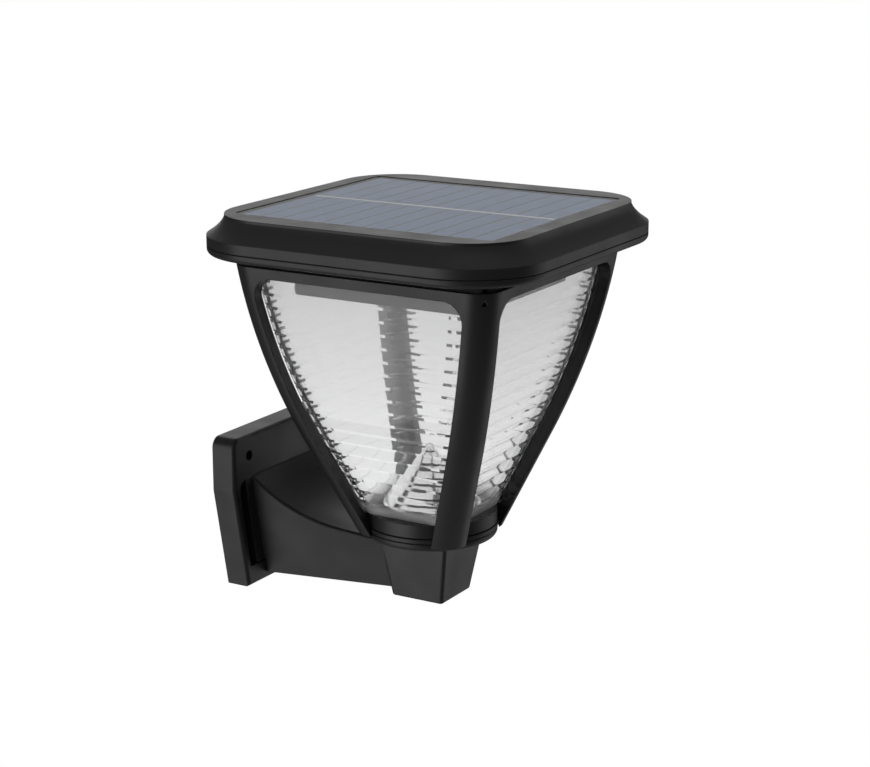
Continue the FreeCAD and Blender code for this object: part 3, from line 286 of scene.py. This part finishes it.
def satin_black_plastic():
    material, tree, shader = new_finish(
        "satin_black_plastic", (0.0125, 0.0125, 0.013), 0.42
    )
    patches = noise(tree, scale=60, detail=3)
    gloss = ranged(tree, patches, low=0.37, high=0.47, start=0.3, stop=0.7)
    tree.links.new(gloss, shader.inputs["Roughness"])
    bump = grain(tree, shader, noise(tree, scale=2600, detail=2), strength=0.12)
    edge = tree.nodes.new("ShaderNodeBevel")
    edge.samples = EDGE_SAMPLES
    edge.inputs["Radius"].default_value = EDGE_ROUND
    tree.links.new(edge.outputs["Normal"], bump.inputs["Normal"])
    return material


def grained_plastic(name, colour, roughness, scale, detail, strength):
    material, tree, shader = new_finish(name, colour, roughness)
    grain(tree, shader, noise(tree, scale, detail), strength)
    return material


finishes = {
    "satin_black_plastic": satin_black_plastic(),
    "pale_grey_plastic": grained_plastic(
        "pale_grey_plastic", (0.5, 0.51, 0.51), 0.35, scale=1800, detail=2, strength=0.1
    ),
    "black_rubber": grained_plastic(
        "black_rubber", (0.012, 0.012, 0.012), 0.75, scale=1500, detail=3, strength=0.2
    ),
}
print("grained plastics", sorted(finishes))

# %% [markdown]
# ## Clear plastic of the lens
# The lens is clear polycarbonate. A moulded prism wall is never quite clear: it glows a
# little where light falls on it. Plain glass would turn the panes black wherever they
# bend a ray to something dark. A share of diffuse and translucent shader gives the
# milky veil instead. It is strongest at the top, thins out downwards, and is thick once
# more at the foot, which stands on the dark floor of the cage.

# %% Clear plastic
CLEAR_IOR = 1.49
HAZE_GREY = (0.8, 0.8, 0.8, 1)
HAZE_LOW = 0.03
HAZE_HIGH = 0.17
HAZE_RISE = (0.02, 0.10)
HAZE_FOOT = 0.65
FOOT_FADE = (0.006, 0.0105)


def clear_plastic():
    material, tree, clear = new_finish("clear_lens", (0.95, 0.952, 0.952), 0.03)
    clear.inputs["IOR"].default_value = CLEAR_IOR
    clear.inputs["Transmission Weight"].default_value = 1.0
    haze = tree.nodes.new("ShaderNodeBsdfDiffuse")
    haze.inputs["Color"].default_value = HAZE_GREY
    through = tree.nodes.new("ShaderNodeBsdfTranslucent")
    through.inputs["Color"].default_value = HAZE_GREY
    veil = blended_shader(tree, 0.5, haze, through)
    place = tree.nodes.new("ShaderNodeTexCoord")
    split = tree.nodes.new("ShaderNodeSeparateXYZ")
    tree.links.new(place.outputs["Object"], split.inputs["Vector"])
    height = split.outputs["Z"]
    wall = ranged(tree, height, HAZE_LOW, HAZE_HIGH, *HAZE_RISE)
    foot = ranged(tree, height, HAZE_FOOT, 0.0, *FOOT_FADE)
    share = worked_out(tree, "MAXIMUM", wall, foot)
    to_surface(tree, blended_shader(tree, share, clear, veil))
    return material


finishes["clear_lens"] = clear_plastic()
print("clear plastic, haze from", HAZE_LOW, "to", HAZE_HIGH)

# %% [markdown]
# ## Glass of the solar panel
# The glass is laminated to the cells, so light meets a surface once on its way in. A
# full glass shader mirrors inside the sheet as well and turns the panel black at low
# angles. Here a refraction shader carries the view through, and a sheen by Fresnel is
# laid on the upper face alone.

# %% Panel glass
GLASS_IOR = 1.45
GLASS_TINT = (0.96, 0.97, 0.98, 1)
SHEEN_GREY = (0.42, 0.42, 0.42, 1)
SHEEN_ROUGH = 0.12


def panel_glass():
    material, tree, shader = new_finish("panel_glass", (0.9, 0.93, 0.95), 0.08)
    tree.nodes.remove(shader)
    through = tree.nodes.new("ShaderNodeBsdfRefraction")
    through.inputs["Color"].default_value = GLASS_TINT
    through.inputs["Roughness"].default_value = 0.0
    through.inputs["IOR"].default_value = GLASS_IOR
    sheen = tree.nodes.new("ShaderNodeBsdfGlossy")
    sheen.inputs["Color"].default_value = SHEEN_GREY
    sheen.inputs["Roughness"].default_value = SHEEN_ROUGH
    angle = tree.nodes.new("ShaderNodeFresnel")
    angle.inputs["IOR"].default_value = GLASS_IOR
    side = tree.nodes.new("ShaderNodeNewGeometry")
    facing = worked_out(tree, "SUBTRACT", 1.0, side.outputs["Backfacing"])
    share = worked_out(tree, "MULTIPLY", angle.outputs[0], facing)
    to_surface(tree, blended_shader(tree, share, through, sheen))
    return material


finishes["panel_glass"] = panel_glass()
print("panel glass, index", GLASS_IOR)

# %% [markdown]
# ## Solar cells
# Twelve strips of blue silicon lie side by side, and each carries fine silver fingers
# and darkens at its two long edges. The crystal makes the blue wander a little. All of
# this is thinner than paint, so it is drawn in the shader: a wave for the fingers,
# noise for the crystal, and a to-and-fro ramp across the strips for their edges. A dark
# sheet behind the cells shows as thin lines between them.

# %% Solar cells
STRIPS = 12
STRIP_PITCH = 9.6
STRIP_EDGE = (0.0003, 0.0006)
EDGE_DARK = (0.02, 0.03, 0.05, 1)
CRYSTAL_DEEP = (0.05, 0.108, 0.222, 1)
CRYSTAL_PALE = (0.067, 0.136, 0.268, 1)
FINGER_PITCH = 0.0016
FINGER_SILVER = (0.45, 0.47, 0.5, 1)
FINGER_SHARE = 0.35
FINGER_START = 0.93
WAVE_PERIOD = 0.314  # a wave texture of scale 1 repeats after this length
DULL = 0.2


def silicon_cell():
    material, tree, shader = new_finish("silicon_cell", (0.06, 0.09, 0.17), 0.4)
    shader.inputs["Specular IOR Level"].default_value = DULL
    place = tree.nodes.new("ShaderNodeTexCoord")
    cloud = noise(tree, scale=90, detail=4, roughness=0.6)
    crystal = ranged(tree, cloud, low=0.0, high=1.0, start=0.35, stop=0.65)
    blue = blended_colour(tree, crystal, CRYSTAL_DEEP, CRYSTAL_PALE)

    wave = tree.nodes.new("ShaderNodeTexWave")
    wave.bands_direction = "X"
    wave.inputs["Scale"].default_value = WAVE_PERIOD / FINGER_PITCH
    tree.links.new(place.outputs["Object"], wave.inputs["Vector"])
    finger = ranged(tree, wave.outputs["Fac"], 0.0, FINGER_SHARE, start=FINGER_START)
    lined = blended_colour(tree, finger, blue, FINGER_SILVER)

    split = tree.nodes.new("ShaderNodeSeparateXYZ")
    tree.links.new(place.outputs["Object"], split.inputs["Vector"])
    start = AXIS_Y - STRIPS * STRIP_PITCH * MM
    along = worked_out(tree, "SUBTRACT", split.outputs["Y"], start)
    from_edge = worked_out(tree, "PINGPONG", along, STRIP_PITCH * MM / 2)
    edge = ranged(tree, from_edge, 1.0, 0.0, *STRIP_EDGE)
    banded = blended_colour(tree, edge, lined, EDGE_DARK)
    tree.links.new(banded, shader.inputs["Base Color"])
    return material


def panel_backing():
    material, _, shader = new_finish("panel_backing", (0.008, 0.012, 0.022), 0.5)
    shader.inputs["Specular IOR Level"].default_value = DULL
    return material


finishes["silicon_cell"] = silicon_cell()
finishes["panel_backing"] = panel_backing()
print(STRIPS, "strips of", STRIP_PITCH, "mm")

# %% [markdown]
# ## Metals and the parts inside the lid
# The reflector is plastic under a thin bright film, the ribbon is dull tinned copper,
# and the screws are blackened, as on most black outdoor lights. The boards, the battery
# and the chips are closed in the lid, so a plain shader each is enough for them.

# %% Metals and plain finishes
PLAIN_FINISHES = (
    # name, colour, roughness, how metallic
    ("reflector", (0.9, 0.9, 0.9), 0.16, 1.0),
    ("tinned_copper", (0.66, 0.66, 0.64), 0.45, 0.3),
    ("screw_steel", (0.07, 0.07, 0.072), 0.4, 1.0),
    ("board_laminate", (0.03, 0.13, 0.06), 0.4, 0.0),
    ("light_chip", (0.9, 0.75, 0.2), 0.3, 0.0),
    ("battery_wrap", (0.02, 0.12, 0.06), 0.25, 0.0),
    ("black_component", (0.02, 0.02, 0.02), 0.5, 0.0),
)
for name, colour, roughness, metallic in PLAIN_FINISHES:
    finishes[name], _, shader = new_finish(name, colour, roughness)
    shader.inputs["Metallic"].default_value = metallic
print(len(finishes), "finishes")

# %% [markdown]
# ## Finishes on the frame's parts
# The record names a finish for each part of the frame. The panel's back board gets the
# dark sheet in place of its green laminate. The prism wall of a real lens scatters what
# stands far behind it, and the smooth inner wall here would show it, so the plate and
# the arm are hidden from rays that pass through the lens.

# %% Finishes on the frame's parts


def coat(piece, finish):
    """Give a piece one finish all over."""
    piece.data.materials.clear()
    piece.data.materials.append(finishes[finish])


for entry in frame["record"]["subparts"]:
    coat(nodes[entry["node"]], entry["material_slot"])
coat(nodes["panel_board"], "panel_backing")
for behind in ("wall_plate", "bracket_arm"):
    nodes[behind].visible_transmission = False

# %% [markdown]
# ## The lens
# The lens is a square shade with rounded corners that follows the flare of the cage: a
# straight taper, then a wide arc. Nineteen prism steps climb its outside, and the
# inside is smooth. A turned profile can't give its flat sides, and cutting the steps
# into a solid leaves slivers. So one quarter ring is drawn once and pulled along the
# profile, and mirrored.

# %% Lens profile
LENS_BOTTOM = 4.1
LENS_TOP = 112.4
LENS_STEPS = 19
LENS_CORNER = 10.0
LENS_WALL = 2.6
LENS_BEVEL = 1.3
LENS_LEDGE = 0.16
LENS_GAP = 5.6
INNER_ROWS = 14
TAPER_FOOT = -5.4
TAPER_TOP = 35.0
TAPER_HALF = 25.1
TAPER_SLOPE = 0.386
ARC_RADIUS = 333.0
ARC_HEIGHT = 154.9
ARC_BEYOND = 269.97
LENS_PITCH = (LENS_TOP - LENS_BOTTOM) / LENS_STEPS


def flare(z):
    """Half the cage's outside width at a height, in mm."""
    if z < TAPER_TOP:
        return TAPER_HALF + TAPER_SLOPE * (z - TAPER_FOOT)
    return math.sqrt(ARC_RADIUS**2 - (z - ARC_HEIGHT) ** 2) - ARC_BEYOND


def lens_half(z):
    return flare(z) - LENS_GAP


def lens_outside():
    """The stepped profile above its lowest point: (half width, z) in mm."""
    profile = []
    for step in range(LENS_STEPS):
        shelf = LENS_BOTTOM + LENS_PITCH * step + LENS_PITCH
        brow = shelf - LENS_BEVEL
        profile.append((lens_half(brow), brow))
        profile.append((lens_half(shelf) - LENS_LEDGE, shelf))
        profile.append((lens_half(shelf), shelf))
    return profile


def lens_inside():
    """The smooth inner profile above its lowest point."""
    profile = []
    for row in range(1, INNER_ROWS + 1):
        z = LENS_BOTTOM + (LENS_TOP - LENS_BOTTOM) * row / INNER_ROWS
        profile.append((lens_half(z) - LENS_WALL, z))
    return profile


print("lens steps", LENS_STEPS, "pitch", round(LENS_PITCH, 2), "mm")

# %% [markdown]
# ## Pulling a quarter ring
# The ring starts as a circle of which one quarter stays. A short piece and a long piece
# are extruded from each of its ends, and the short one keeps the corner's shading off
# the flat side. Then the whole ring is extruded from point to point of the profile. It
# grows out and up by the same amounts along X and Y, so its flat sides stay square to
# each other.

# %% Quarter ring
TOUCH = 1e-6
CORNER_SPANS = 16
EDGE_SPAN = 4.0
FLAT_SPAN = 60.0


def select_where(piece, test, boundary=False):
    """In edit mode, with nothing selected, select what passes a test."""
    mesh = bmesh.from_edit_mesh(piece.data)
    for vertex in mesh.verts:
        if test(vertex.co) and not boundary:
            vertex.select_set(True)
    for edge in mesh.edges:
        if test(edge.verts[0].co) and test(edge.verts[1].co):
            if edge.is_boundary or not boundary:
                edge.select_set(True)
    bmesh.update_edit_mesh(piece.data)


def extrude_by(x, y, z):
    """Extrude what is selected and move it, in mm."""
    bpy.ops.mesh.extrude_region_move(
        TRANSFORM_OT_translate={"value": (x * MM, y * MM, z * MM)}
    )


def pull_quarter_ring(half, corner, z, profile):
    """Draw a quarter ring at a height and pull it through the profile's points."""
    bpy.ops.mesh.primitive_circle_add(
        vertices=4 * CORNER_SPANS, radius=corner * MM, location=(0, AXIS_Y, 0)
    )
    ring = bpy.context.object
    bpy.ops.object.mode_set(mode="EDIT")
    bpy.ops.mesh.select_mode(type="VERT")
    bpy.ops.mesh.select_all(action="DESELECT")
    select_where(ring, lambda co: co.x < -TOUCH or co.y < -TOUCH)
    bpy.ops.mesh.delete(type="VERT")
    bpy.ops.mesh.select_all(action="SELECT")
    far = half * MM
    side = (half - corner) * MM
    bpy.ops.transform.translate(value=(side, side, z * MM))
    for axis in (0, 1):
        bpy.ops.mesh.select_all(action="DESELECT")
        select_where(
            ring,
            lambda co: abs(co[axis] - far) < TOUCH and abs(co[1 - axis] - side) < TOUCH,
        )
        for span in (EDGE_SPAN, FLAT_SPAN):
            pull = (0, -span) if axis == 0 else (-span, 0)
            extrude_by(*pull, 0)
    bpy.ops.mesh.select_mode(type="EDGE")
    bpy.ops.mesh.select_all(action="SELECT")
    at_half, at_z = half, z
    for next_half, next_z in profile:
        extrude_by(next_half - at_half, next_half - at_half, next_z - at_z)
        at_half, at_z = next_half, next_z
    bpy.ops.object.mode_set(mode="OBJECT")
    return ring


# %% [markdown]
# ## Corners, joining and closing the lens
# On the real shade the steps catch the dark posts and show as short dashes beside them,
# while the panes between stay clean. So each shelf is pushed further in round the
# corner and hardly at all on the flat sides. The two walls are then joined, bridged at
# the foot and the rim, and mirrored twice.

# %% Lens shaping helpers
CORNER_LEDGE = 1.1
CORNER_SLACK = 0.01
RIM_TOUCH = 1e-5


def join_all(pieces):
    """Join pieces into the first of them."""
    bpy.ops.object.select_all(action="DESELECT")
    for piece in pieces:
        piece.select_set(True)
    bpy.context.view_layer.objects.active = pieces[0]
    bpy.ops.object.join()
    return pieces[0]


def deepen_corner(shade, shelf):
    """In edit mode, push one shelf's inner edge in round the corner."""
    middle = lens_half(shelf) - LENS_LEDGE - LENS_CORNER

    def on_corner(co):
        x, y = co.x / MM - middle, co.y / MM - middle
        on_arc = abs(math.hypot(x, y) - LENS_CORNER) < CORNER_SLACK
        in_quarter = x > -CORNER_SLACK and y > -CORNER_SLACK
        return on_arc and in_quarter and abs(co.z - shelf * MM) < TOUCH

    bpy.ops.mesh.select_mode(type="VERT")
    bpy.ops.mesh.select_all(action="DESELECT")
    select_where(shade, on_corner)
    deep = -CORNER_LEDGE * math.sqrt(0.5) * MM
    bpy.ops.transform.translate(value=(deep, deep, 0))


def bridge_walls(shade, z):
    """In edit mode, close the gap between the outer and the inner wall at a height."""
    bpy.ops.mesh.select_mode(type="EDGE")
    bpy.ops.mesh.select_all(action="DESELECT")
    select_where(shade, lambda co: abs(co.z - z * MM) < RIM_TOUCH, boundary=True)
    bpy.ops.mesh.bridge_edge_loops()


def mirror_quarters(shade):
    mirror = shade.modifiers.new("quarters", "MIRROR")
    mirror.use_axis = (True, True, False)
    mirror.use_bisect_axis = (True, True, False)
    mirror.use_mirror_merge = True
    mirror.merge_threshold = RIM_TOUCH
    bpy.ops.object.modifier_apply(modifier="quarters")


def turn_faces_out():
    """In edit mode, make all faces point outwards."""
    bpy.ops.mesh.select_all(action="SELECT")
    bpy.ops.mesh.normals_make_consistent(inside=False)


def report_mesh(piece):
    """Print how many faces a piece has and whether it is closed."""
    mesh = bmesh.new()
    mesh.from_mesh(piece.data)
    loose = sum(1 for edge in mesh.edges if not edge.is_manifold)
    print(piece.name, len(mesh.faces), "faces,", loose, "open edges")
    mesh.free()


# %% Lens
LENS_SMOOTH = math.radians(7)


def make_lens():
    foot_half = lens_half(LENS_BOTTOM)
    outer = pull_quarter_ring(foot_half, LENS_CORNER, LENS_BOTTOM, lens_outside())
    inner = pull_quarter_ring(
        foot_half - LENS_WALL, LENS_CORNER - LENS_WALL, LENS_BOTTOM, lens_inside()
    )
    shade = join_all([outer, inner])
    bpy.ops.object.mode_set(mode="EDIT")
    for step in range(1, LENS_STEPS + 1):
        deepen_corner(shade, LENS_BOTTOM + LENS_PITCH * step)
    for z in (LENS_BOTTOM, LENS_TOP):
        bridge_walls(shade, z)
    bpy.ops.object.mode_set(mode="OBJECT")
    mirror_quarters(shade)
    bpy.ops.object.transform_apply(location=True, rotation=False, scale=False)
    bpy.ops.object.mode_set(mode="EDIT")
    turn_faces_out()
    bpy.ops.object.mode_set(mode="OBJECT")
    bpy.ops.object.shade_smooth_by_angle(angle=LENS_SMOOTH)
    shade.name = "lens_shade"
    coat(shade, "clear_lens")
    report_mesh(shade)
    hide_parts("lens")
    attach(shade, "lantern")


make_lens()

# %% [markdown]
# ## The reflector
# A bright cone stands on the lens's floor and throws the light outwards. Fine ridges
# break up what it mirrors. It is round, so half its outline is drawn point by point
# from the axis and spun once about it.

# %% Turning an outline
FULL_TURN = 2 * math.pi


def spin_outline(outline, steps):
    """A solid turned about Z from (radius, z) points in mm, from axis to axis."""
    bpy.ops.mesh.primitive_plane_add(size=MM)
    piece = bpy.context.object
    bpy.ops.object.mode_set(mode="EDIT")
    bpy.ops.mesh.select_mode(type="VERT")
    bpy.ops.mesh.select_all(action="SELECT")
    bpy.ops.mesh.merge(type="CENTER")
    at_radius, at_z = outline[0]
    bpy.ops.transform.translate(value=(at_radius * MM, 0, at_z * MM))
    for radius, z in outline[1:]:
        extrude_by(radius - at_radius, 0, z - at_z)
        at_radius, at_z = radius, z
    bpy.ops.mesh.select_all(action="SELECT")
    bpy.ops.mesh.spin(steps=steps, angle=FULL_TURN, center=(0, 0, 0), axis=(0, 0, 1))
    bpy.ops.mesh.select_all(action="SELECT")
    bpy.ops.mesh.remove_doubles(threshold=TOUCH)
    turn_faces_out()
    bpy.ops.object.mode_set(mode="OBJECT")
    return piece


# %% Reflector
CONE_BASE = 19.8
CONE_TIP = 1.0
CONE_LOW = 0.8
CONE_SKIRT = 6.6
CONE_HIGH = 32.0
CONE_NIB = 0.3
CONE_STEPS = 72
CONE_SMOOTH = math.radians(12)
RIDGE_PITCH = 2.5
RIDGE_DEPTH = 0.35
# One ridge: how far up its pitch each point lies, and its share of the depth.
RIDGE_SHAPE = ((0.25, 1.0), (0.75, 0.2), (1.0, 0.0))


def make_reflector():
    outline = [(0.0, CONE_LOW), (CONE_BASE, CONE_LOW), (CONE_BASE, CONE_SKIRT)]
    for ridge in range(int((CONE_HIGH - CONE_SKIRT) / RIDGE_PITCH)):
        for rise, depth in RIDGE_SHAPE:
            z = CONE_SKIRT + (ridge + rise) * RIDGE_PITCH
            climbed = (z - CONE_SKIRT) / (CONE_HIGH - CONE_SKIRT)
            slope = CONE_BASE + (CONE_TIP - CONE_BASE) * climbed
            outline.append((slope - depth * RIDGE_DEPTH, z))
    outline += [(CONE_TIP, CONE_HIGH), (0.0, CONE_HIGH + CONE_NIB)]
    cone = spin_outline(outline, CONE_STEPS)
    cone.location = (0, AXIS_Y, 0)
    bpy.ops.object.transform_apply(location=True, rotation=False, scale=False)
    bpy.ops.object.shade_smooth_by_angle(angle=CONE_SMOOTH)
    cone.name = "ridged_reflector"
    coat(cone, "reflector")
    report_mesh(cone)
    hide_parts("reflector_cone")
    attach(cone, "lantern")


make_reflector()

# %% [markdown]
# ## The ribbon on the cells
# One tinned ribbon crosses all the strips down the middle, with a small bead of solder
# wherever it meets one. The beads catch the light and make the ribbon look beaded from
# afar. A bump in the ribbon's finish would be lost from the side, so each bead is a
# flattened ball of its own.

# %% Ribbon
RIBBON_WIDE = 2.2
RIBBON_LOW = 130.3
RIBBON_THICK = 0.1
RIBBON_INSET = 1.0
BEAD_RADII = (1.0, 2.2, 0.08)


def flat_piece(piece, sizes):
    """Scale a new primitive of unit size to sizes in its own units."""
    piece.scale = sizes
    bpy.ops.object.transform_apply(location=True, rotation=False, scale=True)
    return piece


def make_ribbon():
    length = STRIP_PITCH * STRIPS - 2 * RIBBON_INSET
    bpy.ops.mesh.primitive_cube_add(
        size=1, location=(0, AXIS_Y, (RIBBON_LOW + RIBBON_THICK / 2) * MM)
    )
    sizes = (RIBBON_WIDE * MM, length * MM, RIBBON_THICK * MM)
    pieces = [flat_piece(bpy.context.object, sizes)]
    for strip in range(STRIPS):
        y = AXIS_Y + (strip - (STRIPS - 1) / 2) * STRIP_PITCH * MM
        bpy.ops.mesh.primitive_uv_sphere_add(
            segments=16,
            ring_count=8,
            radius=MM,
            location=(0, y, (RIBBON_LOW + RIBBON_THICK) * MM),
        )
        pieces.append(flat_piece(bpy.context.object, BEAD_RADII))
    ribbon = join_all(pieces)
    ribbon.name = "soldered_ribbon"
    coat(ribbon, "tinned_copper")
    report_mesh(ribbon)
    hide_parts("cell_ribbon")
    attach(ribbon, "lantern")


make_ribbon()

# %% [markdown]
# ## Screws
# The frame's screws are plain. A real one has a domed head with a cross recess and a
# threaded shank. A true helix would need many thin faces where nobody looks, and rings
# at the thread's pitch look the same. One screw of each kind is turned, its recess is
# cut with two blades, and a copy is laid where each of the frame's screws is.

# %% One screw
RECESS_WIDE = 0.7
RECESS_LONG = 1.25
RECESS_DEEP = 1.1
THREAD_PITCH = 0.9
THREAD_ROOT = 0.82
THREAD_START = 0.8
THREAD_STOP = 1.6
SCREW_STEPS = 24
SCREW_SMOOTH = math.radians(30)
# The dome from its middle to its rim: shares of the head's radius and height.
DOME = ((0.0, 1.0), (0.45, 0.94), (0.78, 0.72), (0.95, 0.4), (1.0, 0.1), (1.0, 0.0))


def cut_slot(screw, sizes, height):
    """Cut one slot of the recess with a blade of sizes and height in metres."""
    bpy.ops.mesh.primitive_cube_add(size=1, location=(0, 0, height))
    blade = flat_piece(bpy.context.object, sizes)
    cut = screw.modifiers.new("recess", "BOOLEAN")
    cut.operation = "DIFFERENCE"
    cut.object = blade
    bpy.ops.object.select_all(action="DESELECT")
    bpy.context.view_layer.objects.active = screw
    screw.select_set(True)
    bpy.ops.object.modifier_apply(modifier="recess")
    bpy.data.objects.remove(blade)


def make_screw(head, tall, shank, length):
    """A screw that points down, its seat at z = 0. Sizes in mm."""
    outline = [(head * wide, tall * rise) for wide, rise in DOME]
    outline.append((shank, 0.0))
    z = -THREAD_START
    while z > THREAD_STOP - length:
        outline += [(shank * THREAD_ROOT, z), (shank, z - THREAD_PITCH / 2)]
        z -= THREAD_PITCH
    outline += [(shank * THREAD_ROOT, z), (0.0, -length)]
    screw = spin_outline(outline, SCREW_STEPS)
    wide, deep = RECESS_WIDE * MM, tall * RECESS_DEEP * MM
    long = head * RECESS_LONG * MM
    cut_slot(screw, (long, wide, deep), tall * MM)
    cut_slot(screw, (wide, long, deep), tall * MM)
    bpy.ops.object.shade_smooth_by_angle(angle=SCREW_SMOOTH)
    return screw


# %% [markdown]
# ## Finding the frame's screws
# The places could be typed in again, but then a changed frame would leave them behind.
# So each screw is read from the frame's own mesh: its islands are the screws, the long
# way of an island is its axis, its widest ring is the head and the next is the shank.

# %% Finding screws
ALIKE = 1e-5
RIM_FROM = 0.9  # shares of the head's radius
SHANK_UP_TO = 0.8


def islands(mesh):
    """The separate solids of a mesh, as lists of points, in the mesh's own order."""
    shape = bmesh.new()
    shape.from_mesh(mesh)
    bmesh.ops.remove_doubles(shape, verts=shape.verts, dist=TOUCH)
    seen = set()
    found = []
    for start in shape.verts:
        if start in seen:
            continue
        seen.add(start)
        todo = [start]
        points = []
        while todo:
            vertex = todo.pop()
            points.append(vertex.co.copy())
            for edge in vertex.link_edges:
                other = edge.other_vert(vertex)
                if other not in seen:
                    seen.add(other)
                    todo.append(other)
        found.append(points)
    shape.free()
    return found


def screw_axis(spans):
    """Which way a screw lies: across its box's two equal spans, or else the longest."""
    if abs(spans[0] - spans[1]) < ALIKE:
        return 2
    if abs(spans[0] - spans[2]) < ALIKE:
        return 1
    return max(range(3), key=lambda i: spans[i])


def read_screw(points):
    """Where a plain screw's seat is, which way it points, and its four sizes in mm."""
    low = Vector(min(p[i] for p in points) for i in range(3))
    high = Vector(max(p[i] for p in points) for i in range(3))
    middle = (low + high) / 2
    axis = screw_axis(high - low)

    def out(point):
        away = point - middle
        away[axis] = 0
        return away.length

    head = max(out(p) for p in points)
    rim = [p[axis] for p in points if out(p) > RIM_FROM * head]
    shank = max(out(p) for p in points if ALIKE < out(p) < SHANK_UP_TO * head)
    tall = max(rim) - min(rim)
    way = Vector((0, 0, 0))
    if max(rim) > high[axis] - ALIKE:
        way[axis] = -1
        seat, length = min(rim), min(rim) - low[axis]
    else:
        way[axis] = 1
        seat, length = max(rim), high[axis] - max(rim)
    foot = middle.copy()
    foot[axis] = seat
    return foot, way, [size / MM for size in (head, tall, shank, length)]


# %% [markdown]
# ## Dressing the screws
# All screws of a node are alike, so one is drawn and copied. The cage screws stand a
# little nearer the axis than in the frame, which keeps them clear of the posts' round
# corners.

# %% Dressing screws
CAGE_SCREW_SHIFT = 1.25
DOWN = Vector((0, 0, -1))


def dress_screws(node_name, shift=0.0):
    """Replace one node's plain screws, moved by shift in mm towards the axis."""
    drawn = []
    pattern = None
    for points in islands(nodes[node_name].data):
        foot, way, sizes = read_screw(points)
        if pattern is None:
            pattern = make_screw(*sizes)
        foot.x -= math.copysign(shift * MM, foot.x)
        foot.y -= math.copysign(shift * MM, foot.y - AXIS_Y)
        lay = DOWN.rotation_difference(way).to_matrix().to_4x4()
        mesh = pattern.data.copy()
        mesh.transform(Matrix.Translation(foot) @ lay)
        copy = bpy.data.objects.new(node_name + "_drawn", mesh)
        bpy.context.scene.collection.objects.link(copy)
        drawn.append(copy)
    bpy.data.objects.remove(pattern)
    count = len(drawn)
    piece = join_all(drawn)
    coat(piece, "screw_steel")
    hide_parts(node_name)
    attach(piece, "lantern")
    print(count, node_name, [round(size, 2) for size in sizes])


for screw_node in ("lid_screws", "neck_screws", "foot_screws", "board_screws"):
    dress_screws(screw_node)
dress_screws("cage_screws", CAGE_SCREW_SHIFT)
